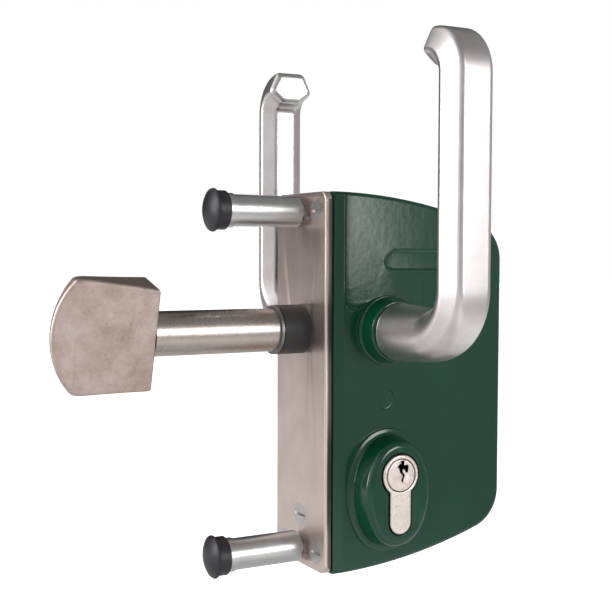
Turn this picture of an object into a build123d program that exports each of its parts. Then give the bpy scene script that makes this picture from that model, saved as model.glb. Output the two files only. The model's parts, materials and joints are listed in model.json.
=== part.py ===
# Surface-mounted sliding gate lock: a cast case on a stainless faceplate, lever handles on both sides,
# a euro profile cylinder and a turning hammer-head hook on a round rod.
# Millimetres. The origin is on the face that meets the gate profile, on the axis of the hook rod.
# +X runs into the case, +Y away from the front handle, +Z up.
import math
import os

from build123d import *

os.makedirs("parts", exist_ok=True)

# Clearances
running_gap = 0.05  # radial, for a shaft that turns in its hole
fixed_gap = 0.02  # radial, for a piece that stays put in its seat
moving_gap = 0.3  # between faces that pass each other
thread_gap = 0.05  # radial, for a screw in its tapped hole

# Gate profile that the lock is made for
profile_width = 40.0
profile_wall = 2.0
wall_play = 0.2

# Faceplate
plate_thickness = 3.0
plate_width = 43.0
plate_corner = 4.0
plate_edge_round = 0.6

# Case
case_height = 157.0
case_width = 85.0
case_middle_z = -21.5
arch_radius = 235.0
case_corner = 17.0
case_wall = 3.0
case_bulge = 1.5  # the front and rear faces stand this much proud of the faceplate's edges
bevel_width = 5.0  # sloping band beside the faceplate
case_edge_round = 1.8
cover_thickness = 3.5

# Axes across the lock
backset = 28.5
cylinder_drop = 58.8

# Handle collars on the case
handle_collar_radius = 14.5  # at its foot
handle_collar_front_radius = 12.9
handle_collar_height = 9.5
collar_flare = 1.2
collar_rim_round = 0.9

# Cylinder collars on the case
cylinder_collar_width = 30.0
cylinder_collar_height = 43.0
cylinder_collar_end_radius = 12.5
cylinder_collar_taper = 11.0
collar_setback = 0.7  # the cylinder stands this much proud of its collar
cylinder_collar_rim_round = 1.0
cylinder_collar_flare = 2.4

# Marks on the front face
badge_length = 37.0
badge_height = 9.5
badge_depth = 0.5
badge_x = 45.5
badge_z = 29.0
dimple_radius = 4.4
dimple_depth = 0.7
dimple_z = -29.0

# Fixing bolts, that cross the gate profile
bolt_inset = 7.75  # from the ends of the case to the bolts
bolt_thread_radius = 4.0
bolt_hole_radius = 4.3
bolt_shoulder_radius = 6.5
bolt_head_radius = 7.0
bolt_head_length = 6.0
bolt_end_x = 19.0
bolt_socket_flats = 6.0
bolt_socket_depth = 4.0
thread_lead = 0.8
nut_flats = 13.0
nut_thickness = 6.5
nut_x = 9.5
nut_gap = 0.1
fixing_block_end = 21.0
fixing_block_half_height = 8.8

# Caps over the bolt heads
cap_radius = 8.8
cap_dome_height = 2.9
cap_skirt_wall = 0.9
cap_skirt_length = 5.0
cap_rim_height = 0.6

# Screws of the faceplate, cover and cylinder
small_screw_radius = 2.0
small_screw_head_radius = 3.9
small_screw_head_height = 2.0
plate_screw_length = 8.0
plate_screw_y = 14.0
cover_screw_length = 14.0
pillar_radius = 5.0
pillar_inset = 26.0  # from the ends of the case to the pillars beside them
pillar_x = (13.0, 74.0)
low_pillar_z = -45.0  # beside the cylinder's collar
cylinder_screw_radius = 2.5
cylinder_screw_head_radius = 4.7
cylinder_screw_head_height = 2.5
screw_slot_width = 1.2
screw_slot_depth = 0.9

# Hook rod and its bush
rod_radius = 9.0
rod_spigot_radius = 7.0
rod_reach = 67.5  # from the mounting face to the back of the hook head
head_spigot_radius = 5.0
head_spigot_length = 11.0
bush_outer_radius = 10.3
bush_reach = 12.0
bush_flange_radius = 13.0
bush_flange_thickness = 2.5
bush_inner_length = 3.6
circlip_thickness = 1.2
circlip_groove_depth = 0.8
circlip_outer_radius = 10.2
circlip_gap_angle = 50.0
circlip_standoff = 0.4  # from the end of the bush
rod_spigot_length = 8.8

# Hook head
head_length = 39.5
head_height = 42.0  # at the rod's end
head_nose_height = 46.5
head_back_thickness = 18.0
head_nose_thickness = 3.0
head_nose_radius = 34.0
head_corner_radius = 6.0
head_edge_round = 1.0
head_twist = 15.0  # as the photo shows it, top towards the front
head_screw_radius = 2.5
head_screw_offset = 6.0
grub_socket_flats = 2.5
grub_socket_depth = 2.0

# Mitre gears
gear_teeth = 16
gear_heel = 14.0  # pitch radius at the large end, and its distance from the crossing of the axes
gear_toe = 10.0
tooth_addendum = 1.3
tooth_dedendum = 1.8
tooth_root_width = 3.0
tooth_tip_width = 1.1
tooth_sink = 0.4  # how far a tooth's foot sinks into the gear's cone
gear_hub_radius = 11.0
gear_hub_length = 5.6
gear_core_setback = 0.6
gear_pin_radius = 2.0
gear_pin_offset = 2.4
gear_pin_inset = 0.4
teeth_ahead = 5  # that come round into mesh over the travel
teeth_behind = 1

# Follower
follower_radius = 8.0
follower_waist_radius = 7.2
lock_disc_radius = 12.0
lock_disc_thickness = 4.0
lock_disc_y = 10.6
follower_shoulder_radius = 10.0
journal_end_y = 22.0
notch_width = 9.0
notch_floor_radius = 8.7
gear_back_y = 14.6
gear_back_thickness = 1.9
bush_lip_radius = 12.5
bush_lip_thickness = 1.5
handle_bush_radius = 11.0
handle_bush_end_inset = 0.4

# Spindle and handles
spindle_size = 8.0
spindle_half_length = 47.0
spindle_chamfer = 0.8
handle_spigot_length = 8.0
handle_bore_spare = 2.0
neck_radius = 11.7
neck_bend_radius = 20.0
grip_width = 22.6  # across the rounded-off corners
grip_facet = 14.0
grip_back = 10.0
grip_thickness = 14.8
grip_widest = 2.1  # how far behind the middle of its thickness the grip is widest
grip_front_y = 83.5
grip_rounds = (2.0, 2.5, 3.0)
tip_z = 117.5
tip_end_y = 62.0
tip_bend_radius = 11.5
tip_round = 1.5
handle_screw_radius = 2.5
handle_screw_y = 38.0
handle_screw_length = 7.0

# Return spring round the follower
spring_wire = 1.4
spring_radius = 8.5
spring_turns = 5
spring_pitch = 2.3
spring_y = -8.2

# Euro profile cylinder
cylinder_half_length = 35.0
cylinder_head_radius = 8.5
cylinder_leg_width = 10.0
cylinder_total_height = 33.0
cylinder_edge = 0.6
plug_radius = 6.5
plug_tail_radius = 4.0
keyway_depth = 24.0
cam_gap = 10.2
cam_gap_depth = 15.9  # below the plugs' axis
plug_tail_gap = 0.2
cam_thickness = 9.6
cam_ring_radius = 8.0
cam_radius = 15.3
cam_bit_width = 5.0
cam_rest_angle = -34.0
cylinder_screw_drop = 20.0
collar_slot_gap = 0.25
keyway_outline = [
    (-0.5, 5.7),
    (0.1, 4.6),
    (-0.8, 4.3),
    (-1.7, 3.3),
    (-0.9, 2.6),
    (-0.7, 1.2),
    (0.3, 0.3),
    (0.6, -0.6),
    (0.0, -1.4),
    (-0.1, -2.5),
    (0.7, -2.5),
    (0.8, -1.6),
    (1.4, -0.7),
    (1.3, 0.2),
    (0.5, 1.2),
    (0.5, 2.3),
    (1.2, 2.1),
    (1.7, 0.9),
    (2.6, 0.9),
    (3.0, 3.3),
    (2.4, 3.9),
    (1.1, 3.7),
    (1.2, 5.7),
]

# Locking slide
slide_thickness = 3.4
slide_travel = 15.66
tongue_width = 8.0
tongue_length = 6.3
arm_height = 9.0
bar_left = 38.5
bar_right = 50.0
bar_foot_z = -76.0
prong_height = 4.0
prong_gap = 6.8
prong_depth = 14.8
prong_left = 40.5
prong_right = 46.0
guide_pin_radius = 2.5
guide_pin_head_radius = 3.8
guide_pin_head_height = 1.6
guide_pin_z = [-31.0, -38.8]
guide_boss_radius = 5.0
guide_pin_seat = 2.0
guide_slot_margin = 2.8  # from a pin's axis to the end of the slot
guide_slot_lip = 2.2

# Places that follow from the sizes
front_y = -plate_width / 2 - case_bulge
rear_y = -front_y
front_inner_y = front_y + case_wall
seam_y = plate_width / 2 - cover_thickness
case_right = plate_thickness + case_width
case_top_z = case_middle_z + case_height / 2
case_foot_z = case_middle_z - case_height / 2
bolt_z = [case_top_z - bolt_inset, case_foot_z + bolt_inset]
pillar_places = [
    (pillar_x[0], case_top_z - pillar_inset),
    (pillar_x[0], low_pillar_z),
    (pillar_x[1], case_top_z - pillar_inset),
    (pillar_x[1], case_foot_z + pillar_inset),
]
cylinder_z = -cylinder_drop
cylinder_leg_z = cylinder_z + cylinder_head_radius - cylinder_total_height
cylinder_middle_z = (cylinder_z + cylinder_head_radius + cylinder_leg_z) / 2
cylinder_screw_z = cylinder_z - cylinder_screw_drop
handle_collar_y = front_y - handle_collar_height
shoulder_x = -profile_wall - wall_play
bolt_head_x = -profile_width + profile_wall
slide_front_y = -lock_disc_y - (lock_disc_thickness + slide_thickness) / 2
guide_x = (bar_left + bar_right) / 2
bush_end_x = plate_thickness + bush_flange_thickness + bush_inner_length
rod_shoulder_x = bush_end_x + moving_gap
rod_end_x = rod_shoulder_x + rod_spigot_length
circlip_x = -bush_reach - circlip_standoff - circlip_thickness
gear_hub_end_x = rod_shoulder_x + gear_hub_length
gear_pin_x = rod_shoulder_x + gear_pin_offset
thrust_y = -front_inner_y - bush_lip_thickness - moving_gap
neck_y = -handle_collar_y + moving_gap
grip_y = grip_front_y - grip_thickness / 2
bend_y = grip_y - neck_bend_radius
tip_bend_y = grip_y - tip_bend_radius
tip_centre_z = tip_z - grip_thickness / 2 - tip_bend_radius
tongue_tip_z = -notch_floor_radius - moving_gap - slide_travel
arm_top_z = tongue_tip_z - tongue_length
bar_top_z = guide_pin_z[0] + guide_slot_margin + guide_slot_lip
guide_slot_top_z = guide_pin_z[0] + guide_slot_margin
guide_slot_foot_z = guide_pin_z[1] - guide_slot_margin - slide_travel
prong_middle_z = cylinder_z - slide_travel / 2


def at_y(y, x=0.0, z=0.0):
    # upright plane across the lock, seen from the front, with its own origin at x and z
    return Plane((x, y, z), x_dir=(1, 0, 0), z_dir=(0, -1, 0))


def at_x(x):
    # upright plane square to the hook rod
    return Plane.YZ.offset(x)


def case_outline(y, inset=0.0):
    # the case's outline seen from the front, drawn inset from its outside but open to the faceplate
    radius = arch_radius - inset
    left = plate_thickness
    right = case_right - inset
    middle = (left + right) / 2
    centre_drop = arch_radius - case_height / 2
    left_z = radius - centre_drop
    middle_z = math.sqrt(radius**2 - (middle - left) ** 2) - centre_drop
    right_z = math.sqrt(radius**2 - (right - left) ** 2) - centre_drop
    with BuildSketch(at_y(y, z=case_middle_z)) as outline:
        with BuildLine():
            ThreePointArc((left, left_z), (middle, middle_z), (right, right_z))
            Line((right, right_z), (right, -right_z))
            ThreePointArc((right, -right_z), (middle, -middle_z), (left, -left_z))
            Line((left, -left_z), (left, left_z))
        make_face()
        fillet(outline.vertices().group_by(Axis.X)[-1], case_corner - inset)
    return outline.sketch


def euro_profile(y, gap=0.0):
    # head circle and leg of a euro profile cylinder, grown by a gap
    foot_z = cylinder_leg_z + cylinder_leg_width / 2
    with BuildSketch(at_y(y)) as profile:
        with Locations((backset, cylinder_z)):
            Circle(cylinder_head_radius + gap)
        with Locations((backset, (cylinder_z + foot_z) / 2)):
            Rectangle(cylinder_leg_width + 2 * gap, cylinder_z - foot_z)
        with Locations((backset, foot_z)):
            Circle(cylinder_leg_width / 2 + gap)
    return profile.sketch


def collar_oval(y, grown):
    # outline of the cylinder's collar: four tangent arcs, grown all round by a width
    half_width = cylinder_collar_width / 2 + grown
    half_height = cylinder_collar_height / 2 + grown
    end_radius = cylinder_collar_end_radius + grown
    end_centre = half_height - end_radius
    side_radius = (half_width**2 + end_centre**2 - end_radius**2) / (2 * (half_width - end_radius))
    side_centre = side_radius - half_width
    reach = end_radius / (side_radius - end_radius)
    x = side_centre * reach
    z = end_centre * (1 + reach)
    with BuildSketch(at_y(y, backset, cylinder_middle_z)) as oval:
        with BuildLine():
            ThreePointArc((-x, z), (0, half_height), (x, z))
            ThreePointArc((x, z), (half_width, 0), (x, -z))
            ThreePointArc((x, -z), (0, -half_height), (-x, -z))
            ThreePointArc((-x, -z), (-half_width, 0), (-x, z))
        make_face()
    return oval.sketch


def collars(face_y, side):
    # the two collars that stand out of a face of the case; side is -1 in front and 1 at the rear
    oval_y = side * (cylinder_half_length - collar_setback)
    spread = abs(oval_y - face_y) * math.tan(math.radians(cylinder_collar_taper))
    front = handle_collar_front_radius
    rim = front - collar_rim_round
    foot = handle_collar_radius + collar_flare
    curve = math.sqrt(0.5)
    with BuildPart() as both:
        with BuildSketch(Plane((backset, face_y, 0), x_dir=(1, 0, 0), z_dir=(0, 0, side))):
            with BuildLine():
                Line((0, 0), (foot, 0))
                ThreePointArc(
                    (foot, 0),
                    (foot - collar_flare * curve, collar_flare * (1 - curve)),
                    (handle_collar_radius, collar_flare),
                )
                Line(
                    (handle_collar_radius, collar_flare),
                    (front, handle_collar_height - collar_rim_round),
                )
                ThreePointArc(
                    (front, handle_collar_height - collar_rim_round),
                    (rim + collar_rim_round * curve, handle_collar_height - collar_rim_round * (1 - curve)),
                    (rim, handle_collar_height),
                )
                Line((rim, handle_collar_height), (0, handle_collar_height))
                Line((0, handle_collar_height), (0, 0))
            make_face()
        revolve(axis=Axis((backset, face_y, 0), (0, 1, 0)))
        with BuildPart() as cylinder_collar:
            loft([collar_oval(face_y, spread).face(), collar_oval(oval_y, 0.0).face()])
            fillet(
                cylinder_collar.faces().sort_by(Axis.Y)[0 if side < 0 else -1].edges(),
                cylinder_collar_rim_round,
            )
        loft(
            [
                collar_oval(face_y, spread + cylinder_collar_flare).face(),
                collar_oval(face_y + side * cylinder_collar_flare, spread * 0.8).face(),
            ]
        )
    return both.part


def countersunk_screw(radius, head_radius, head_height, length):
    # a countersunk screw from its head's face at the origin down to -Z, with a straight slot
    with BuildPart() as screw:
        with BuildSketch(Plane.XZ):
            with BuildLine():
                Polyline(
                    (0, 0),
                    (head_radius, 0),
                    (radius, -head_height),
                    (radius, -length),
                    (0, -length),
                    close=True,
                )
            make_face()
        revolve(axis=Axis.Z)
        with BuildSketch():
            Rectangle(3 * head_radius, screw_slot_width)
        extrude(amount=-screw_slot_depth, mode=Mode.SUBTRACT)
    return screw.part


def countersink(radius, head_radius, head_height, depth=None):
    # the hole for such a screw, entered from above
    return CounterSinkHole(
        radius + thread_gap,
        head_radius + thread_gap,
        depth,
        2 * math.degrees(math.atan((head_radius - radius) / head_height)),
    )


def mitre_gear(crossing, first, last, turn):
    # teeth first to last of a mitre gear, on the side of the crossing plane that its axis points away from
    slant = gear_heel * math.sqrt(2)
    tip_ratio = math.tan(math.radians(45) + math.atan(tooth_addendum / slant))
    root_ratio = math.tan(math.radians(45) - math.atan(tooth_dedendum / slant))
    far = gear_heel + tooth_addendum * 2
    near = gear_toe - tooth_addendum * 2
    with BuildPart() as gear:
        for distance in (far, near):
            with BuildSketch(crossing.offset(-distance)):
                Circle(distance * root_ratio)
        loft()
        for number in range(first, last + 1):
            angle = math.radians(number * 360 / gear_teeth + turn)
            outward = crossing.x_dir * math.cos(angle) + crossing.y_dir * math.sin(angle)
            for distance in (far, near):
                size = distance / gear_heel
                root = distance * root_ratio - tooth_sink
                tip = distance * tip_ratio
                middle = crossing.origin - crossing.z_dir * distance
                with BuildSketch(Plane(middle, x_dir=outward, z_dir=crossing.z_dir)):
                    with BuildLine():
                        Polyline(
                            (root, -tooth_root_width / 2 * size),
                            (tip, -tooth_tip_width / 2 * size),
                            (tip, tooth_tip_width / 2 * size),
                            (root, tooth_root_width / 2 * size),
                            close=True,
                        )
                    make_face()
            loft()
        across = Plane(crossing.origin, x_dir=crossing.x_dir, z_dir=crossing.y_dir)
        with BuildSketch(across):
            with BuildLine():
                Polyline(
                    (0, 2 * gear_toe),
                    (0, 2 * gear_heel),
                    (2 * gear_heel, 0),
                    (2 * gear_toe, 0),
                    close=True,
                )
            make_face()
        revolve(axis=Axis(crossing.origin, crossing.z_dir), mode=Mode.INTERSECT)
    return gear.part


def lever_section(y, z, lean, share):
    # six-sided section of the front lever, between the round neck (share 0) and the grip (share 1),
    # leaning from straight out (0) through upright (90) to back (180)
    side = 2 * neck_radius / math.sqrt(3)
    round_corner = 0.97 * neck_radius
    facet = side + (grip_facet - side) * share
    width = 2 * side + (grip_width - 2 * side) * share
    back = side + (grip_back - side) * share
    thickness = 2 * neck_radius + (grip_thickness - 2 * neck_radius) * share
    turn = math.radians(lean)
    place = Plane((backset, -y, z), x_dir=(1, 0, 0), z_dir=(0, -math.cos(turn), math.sin(turn)))
    right = [(facet / 2, -thickness / 2), (width / 2, grip_widest * share), (back / 2, thickness / 2)]
    left = [(-x, y) for x, y in reversed(right)]
    with BuildSketch(place) as section:
        with BuildLine():
            Polyline(*right, *left, close=True)
        make_face()
        for point, corner in zip(right + left, grip_rounds + grip_rounds[::-1]):
            radius = round_corner + (corner - round_corner) * share
            fillet(section.vertices().sort_by_distance(point)[0], radius)
    return section.sketch


# Faceplate
with BuildPart() as faceplate:
    with BuildSketch(at_x(0)):
        with Locations((0, case_middle_z)):
            RectangleRounded(plate_width, case_height, plate_corner)
    extrude(amount=plate_thickness)
    fillet(faceplate.faces().sort_by(Axis.X)[0].edges(), plate_edge_round)
    with BuildSketch(at_x(0)):
        Circle(bush_outer_radius + fixed_gap)
        with Locations(*[(0, z) for z in bolt_z]):
            Circle(bolt_hole_radius)
    extrude(amount=plate_thickness, mode=Mode.SUBTRACT)
    for z in bolt_z:
        for y in (-plate_screw_y, plate_screw_y):
            with Locations(Plane((0, y, z), x_dir=(0, 1, 0), z_dir=(-1, 0, 0))):
                countersink(small_screw_radius, small_screw_head_radius, small_screw_head_height)
    with Locations(Plane((0, 0, cylinder_screw_z), x_dir=(0, 1, 0), z_dir=(-1, 0, 0))):
        countersink(cylinder_screw_radius, cylinder_screw_head_radius, cylinder_screw_head_height)
faceplate.part.label = "faceplate"

# Front case: a deep cast shell, open at the rear and towards the faceplate
with BuildPart() as front_case:
    extrude(case_outline(front_y), amount=-(seam_y - front_y))
    front_edges = front_case.faces().sort_by(Axis.Y)[0].edges().sort_by(Axis.X)[1:]
    fillet(front_edges, case_edge_round)
    with BuildSketch(Plane.XY.offset(case_middle_z)):
        with BuildLine():
            Polyline(
                (plate_thickness, front_y),
                (plate_thickness + bevel_width, front_y),
                (plate_thickness, front_y + case_bulge),
                close=True,
            )
        make_face()
    extrude(amount=case_height / 2, both=True, mode=Mode.SUBTRACT)
    add(collars(front_y, -1))
    extrude(
        case_outline(front_inner_y, case_wall), amount=-(seam_y - front_inner_y), mode=Mode.SUBTRACT
    )
    for z in bolt_z:
        with BuildSketch(at_y(front_inner_y)):
            add(case_outline(front_inner_y, case_wall - 0.5))
            with Locations(((plate_thickness + fixing_block_end) / 2, z)):
                Rectangle(
                    fixing_block_end - plate_thickness, 2 * fixing_block_half_height, mode=Mode.INTERSECT
                )
        extrude(amount=-(seam_y - front_inner_y))
    with BuildSketch(at_y(front_inner_y)):
        with Locations(*pillar_places):
            Circle(pillar_radius)
    extrude(amount=-(seam_y - front_inner_y))
    with BuildSketch(at_y(front_inner_y)):
        with Locations((guide_x, sum(guide_pin_z) / 2)):
            SlotCenterToCenter(guide_pin_z[0] - guide_pin_z[1], 2 * guide_boss_radius, 90)
    extrude(amount=-(slide_front_y - moving_gap - front_inner_y))
    with BuildSketch(at_y(handle_collar_y)):
        with Locations((backset, 0)):
            Circle(handle_bush_radius)
    extrude(amount=-(front_inner_y - handle_collar_y), mode=Mode.SUBTRACT)
    extrude(
        euro_profile(-cylinder_half_length, collar_slot_gap),
        amount=-(cylinder_half_length + front_inner_y),
        mode=Mode.SUBTRACT,
    )
    with BuildSketch(at_y(front_y)):
        with Locations((badge_x, badge_z)):
            SlotOverall(badge_length, badge_height)
    extrude(amount=-badge_depth, mode=Mode.SUBTRACT)
    with BuildSketch(at_y(front_y)):
        with Locations((backset, dimple_z)):
            Circle(dimple_radius)
    extrude(amount=-dimple_depth, mode=Mode.SUBTRACT)
    with BuildSketch(at_x(plate_thickness)):
        with Locations(*[(0, z) for z in bolt_z]):
            Circle(bolt_hole_radius)
    extrude(amount=fixing_block_end, mode=Mode.SUBTRACT)
    with BuildSketch(at_x(plate_thickness)):
        with Locations(*[(y, z) for y in (-plate_screw_y, plate_screw_y) for z in bolt_z]):
            Circle(small_screw_radius + thread_gap)
    extrude(amount=plate_screw_length - plate_thickness + moving_gap, mode=Mode.SUBTRACT)
    for z in bolt_z:
        with BuildSketch(at_x(nut_x - nut_gap)):
            with Locations((0, z)):
                RegularPolygon(nut_flats / 2 + nut_gap, 6, major_radius=False, rotation=30)
            with Locations((rear_y / 2, z)):
                Rectangle(rear_y, nut_flats + 2 * nut_gap)
        extrude(amount=nut_thickness + 2 * nut_gap, mode=Mode.SUBTRACT)
    with BuildSketch(at_y(seam_y)):
        with Locations(*pillar_places):
            Circle(small_screw_radius + thread_gap)
    extrude(amount=cover_screw_length, mode=Mode.SUBTRACT)
    with BuildSketch(at_y(slide_front_y)):
        with Locations(*[(guide_x, z) for z in guide_pin_z]):
            Circle(guide_pin_radius + fixed_gap)
    extrude(amount=slide_front_y - front_inner_y + guide_pin_seat, mode=Mode.SUBTRACT)
front_case.part.label = "front_case"

# Rear cover: a shallow tray with the same collars
with BuildPart() as rear_cover:
    extrude(case_outline(seam_y), amount=-(rear_y - seam_y))
    rear_edges = rear_cover.faces().sort_by(Axis.Y)[-1].edges().sort_by(Axis.X)[1:]
    fillet(rear_edges, case_edge_round)
    with BuildSketch(Plane.XY.offset(case_middle_z)):
        with BuildLine():
            Polyline(
                (plate_thickness, rear_y),
                (plate_thickness + bevel_width, rear_y),
                (plate_thickness, rear_y - case_bulge),
                close=True,
            )
        make_face()
    extrude(amount=case_height / 2, both=True, mode=Mode.SUBTRACT)
    add(collars(rear_y, 1))
    with BuildSketch(at_y(seam_y)):
        add(case_outline(seam_y, case_wall))
        with Locations(*pillar_places):
            Circle(pillar_radius, mode=Mode.SUBTRACT)
    extrude(amount=-(rear_y - case_wall - seam_y), mode=Mode.SUBTRACT)
    with BuildSketch(at_y(rear_y - case_wall)):
        with Locations((backset, 0)):
            Circle(handle_bush_radius)
    extrude(amount=-(case_wall + handle_collar_height), mode=Mode.SUBTRACT)
    extrude(
        euro_profile(rear_y - case_wall, collar_slot_gap),
        amount=-(cylinder_half_length - rear_y + case_wall),
        mode=Mode.SUBTRACT,
    )
    for x, z in pillar_places:
        with Locations(Plane((x, rear_y, z), x_dir=(1, 0, 0), z_dir=(0, 1, 0))):
            countersink(small_screw_radius, small_screw_head_radius, small_screw_head_height)
rear_cover.part.label = "rear_cover"

# Countersunk screws
with BuildPart() as plate_screws:
    screw = countersunk_screw(
        small_screw_radius, small_screw_head_radius, small_screw_head_height, plate_screw_length
    )
    for y in (-plate_screw_y, plate_screw_y):
        for z in bolt_z:
            add(screw.moved(Plane((0, y, z), x_dir=(0, 1, 0), z_dir=(-1, 0, 0)).location))
plate_screws.part.label = "plate_screws"

with BuildPart() as cover_screws:
    screw = countersunk_screw(
        small_screw_radius, small_screw_head_radius, small_screw_head_height, cover_screw_length
    )
    for x, z in pillar_places:
        add(screw.moved(Plane((x, rear_y, z), x_dir=(1, 0, 0), z_dir=(0, 1, 0)).location))
cover_screws.part.label = "cover_screws"

with BuildPart() as cylinder_screw:
    screw = countersunk_screw(
        cylinder_screw_radius,
        cylinder_screw_head_radius,
        cylinder_screw_head_height,
        backset + cylinder_leg_width / 2,
    )
    add(screw.moved(Plane((0, 0, cylinder_screw_z), x_dir=(0, 1, 0), z_dir=(-1, 0, 0)).location))
cylinder_screw.part.label = "cylinder_screw"

# Fixing bolts: a shoulder that bears on the gate profile's inner wall, and a socket head under the cap
with BuildPart() as fixing_bolts:
    for z in bolt_z:
        with BuildSketch(at_x(bolt_head_x)):
            with Locations((0, z)):
                Circle(bolt_head_radius)
        extrude(amount=bolt_head_length)
        with BuildSketch(at_x(bolt_head_x + bolt_head_length)):
            with Locations((0, z)):
                Circle(bolt_shoulder_radius)
        extrude(amount=shoulder_x - bolt_head_x - bolt_head_length)
        with BuildSketch(at_x(shoulder_x)):
            with Locations((0, z)):
                Circle(bolt_thread_radius)
        extrude(amount=bolt_end_x - shoulder_x)
        with BuildSketch(at_x(bolt_head_x)):
            with Locations((0, z)):
                RegularPolygon(bolt_socket_flats / 2, 6, major_radius=False)
        extrude(amount=bolt_socket_depth, mode=Mode.SUBTRACT)
    chamfer(fixing_bolts.edges().group_by(Axis.X)[-1], thread_lead)
fixing_bolts.part.label = "fixing_bolts"

with BuildPart() as fixing_nuts:
    with BuildSketch(at_x(nut_x)):
        with Locations(*[(0, z) for z in bolt_z]):
            RegularPolygon(nut_flats / 2, 6, major_radius=False, rotation=30)
            Circle(bolt_thread_radius + thread_gap, mode=Mode.SUBTRACT)
    extrude(amount=nut_thickness)
fixing_nuts.part.label = "fixing_nuts"

# Caps: a low dome on the gate profile's far side, with a skirt that grips the bolt's head
with BuildPart() as fixing_caps:
    dome_top = cap_rim_height + cap_dome_height
    dome_radius = (cap_radius**2 + cap_dome_height**2) / (2 * cap_dome_height)
    half_way = math.asin(cap_radius / dome_radius) / 2
    grip = bolt_head_radius + running_gap
    for z in bolt_z:
        with BuildSketch(Plane((-profile_width, 0, z), x_dir=(0, 1, 0), z_dir=(0, 0, 1))):
            with BuildLine():
                Line((0, 0), (grip, 0))
                Line((grip, 0), (grip, -cap_skirt_length))
                Line((grip, -cap_skirt_length), (grip + cap_skirt_wall, -cap_skirt_length))
                Line((grip + cap_skirt_wall, -cap_skirt_length), (grip + cap_skirt_wall, 0))
                Line((grip + cap_skirt_wall, 0), (cap_radius, 0))
                Line((cap_radius, 0), (cap_radius, cap_rim_height))
                ThreePointArc(
                    (cap_radius, cap_rim_height),
                    (
                        dome_radius * math.sin(half_way),
                        dome_top - dome_radius * (1 - math.cos(half_way)),
                    ),
                    (0, dome_top),
                )
                Line((0, dome_top), (0, 0))
            make_face()
        revolve(axis=Axis((-profile_width, 0, z), (1, 0, 0)))
fixing_caps.part.label = "fixing_caps"

# Bush that guides the hook rod through the faceplate
with BuildPart() as rod_bush:
    with BuildSketch(at_x(-bush_reach)):
        Circle(bush_outer_radius)
    extrude(amount=bush_reach + bush_end_x)
    with BuildSketch(at_x(plate_thickness)):
        Circle(bush_flange_radius)
    extrude(amount=bush_flange_thickness)
    with BuildSketch(at_x(-bush_reach)):
        Circle(rod_radius + running_gap)
    extrude(amount=bush_reach + bush_end_x, mode=Mode.SUBTRACT)
rod_bush.part.label = "rod_bush"

# Hook rod: stepped at both ends, with a groove for its circlip
with BuildPart() as hook_rod:
    with BuildSketch(at_x(-rod_reach - head_spigot_length)):
        Circle(head_spigot_radius)
    extrude(amount=head_spigot_length)
    with BuildSketch(at_x(-rod_reach)):
        Circle(rod_radius)
    extrude(amount=rod_reach + rod_shoulder_x)
    with BuildSketch(at_x(rod_shoulder_x)):
        Circle(rod_spigot_radius)
    extrude(amount=rod_end_x - rod_shoulder_x)
    with BuildSketch(at_x(circlip_x - fixed_gap)):
        Circle(rod_radius + 1)
        Circle(rod_radius - circlip_groove_depth, mode=Mode.SUBTRACT)
    extrude(amount=circlip_thickness + 2 * fixed_gap, mode=Mode.SUBTRACT)
    with BuildSketch(Plane.XY.offset(-gear_hub_radius)):
        with Locations((gear_pin_x, 0)):
            Circle(gear_pin_radius)
    extrude(amount=2 * gear_hub_radius, mode=Mode.SUBTRACT)
hook_rod.part.label = "hook_rod"

with BuildPart() as rod_circlip:
    with BuildSketch(at_x(circlip_x)):
        Circle(circlip_outer_radius)
        Circle(rod_radius - circlip_groove_depth + fixed_gap, mode=Mode.SUBTRACT)
        with BuildLine():
            Polyline(
                (0, 0),
                (2 * rod_radius, 2 * rod_radius * math.tan(math.radians(circlip_gap_angle / 2))),
                (2 * rod_radius, -2 * rod_radius * math.tan(math.radians(circlip_gap_angle / 2))),
                close=True,
            )
        make_face(mode=Mode.SUBTRACT)
    extrude(amount=circlip_thickness)
rod_circlip.part.label = "rod_circlip"

# Hook head: a hammer head that tapers to a rounded nose, turned a little about the rod
twist = math.radians(head_twist)
head_up = (0, -math.sin(twist), math.cos(twist))
head_side = (0, -math.cos(twist), -math.sin(twist))
head_front = Plane((0, 0, 0), x_dir=(1, 0, 0), z_dir=head_side)
head_level = Plane((0, 0, 0), x_dir=(1, 0, 0), z_dir=head_up)
head_below = Plane((0, 0, 0), x_dir=(1, 0, 0), z_dir=(0, math.sin(twist), -math.cos(twist)))
with BuildPart() as hook_head:
    nose_x = -rod_reach - head_length
    nose_edge_x = nose_x + head_nose_radius - math.sqrt(head_nose_radius**2 - head_nose_height**2 / 4)
    with BuildSketch(head_front) as head_outline:
        with BuildLine():
            Line((-rod_reach, -head_height / 2), (-rod_reach, head_height / 2))
            Line((-rod_reach, head_height / 2), (nose_edge_x, head_nose_height / 2))
            ThreePointArc(
                (nose_edge_x, head_nose_height / 2), (nose_x, 0), (nose_edge_x, -head_nose_height / 2)
            )
            Line((nose_edge_x, -head_nose_height / 2), (-rod_reach, -head_height / 2))
        make_face()
        fillet(head_outline.vertices().group_by(Axis.X)[0], head_corner_radius)
    extrude(amount=head_back_thickness / 2, both=True)
    with BuildSketch(head_level):
        with BuildLine():
            Polyline(
                (-rod_reach, -head_back_thickness / 2),
                (-rod_reach, head_back_thickness / 2),
                (nose_x, head_nose_thickness / 2),
                (nose_x, -head_nose_thickness / 2),
                close=True,
            )
        make_face()
    extrude(amount=head_height, both=True, mode=Mode.INTERSECT)
    fillet(hook_head.edges(), head_edge_round)
    with BuildSketch(at_x(-rod_reach)):
        Circle(head_spigot_radius + fixed_gap)
    extrude(amount=-(head_spigot_length + moving_gap), mode=Mode.SUBTRACT)
    with BuildSketch(head_below.offset(head_spigot_radius)):
        with Locations((-rod_reach - head_screw_offset, 0)):
            Circle(head_screw_radius + thread_gap)
    extrude(amount=head_height / 2, mode=Mode.SUBTRACT)
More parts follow.
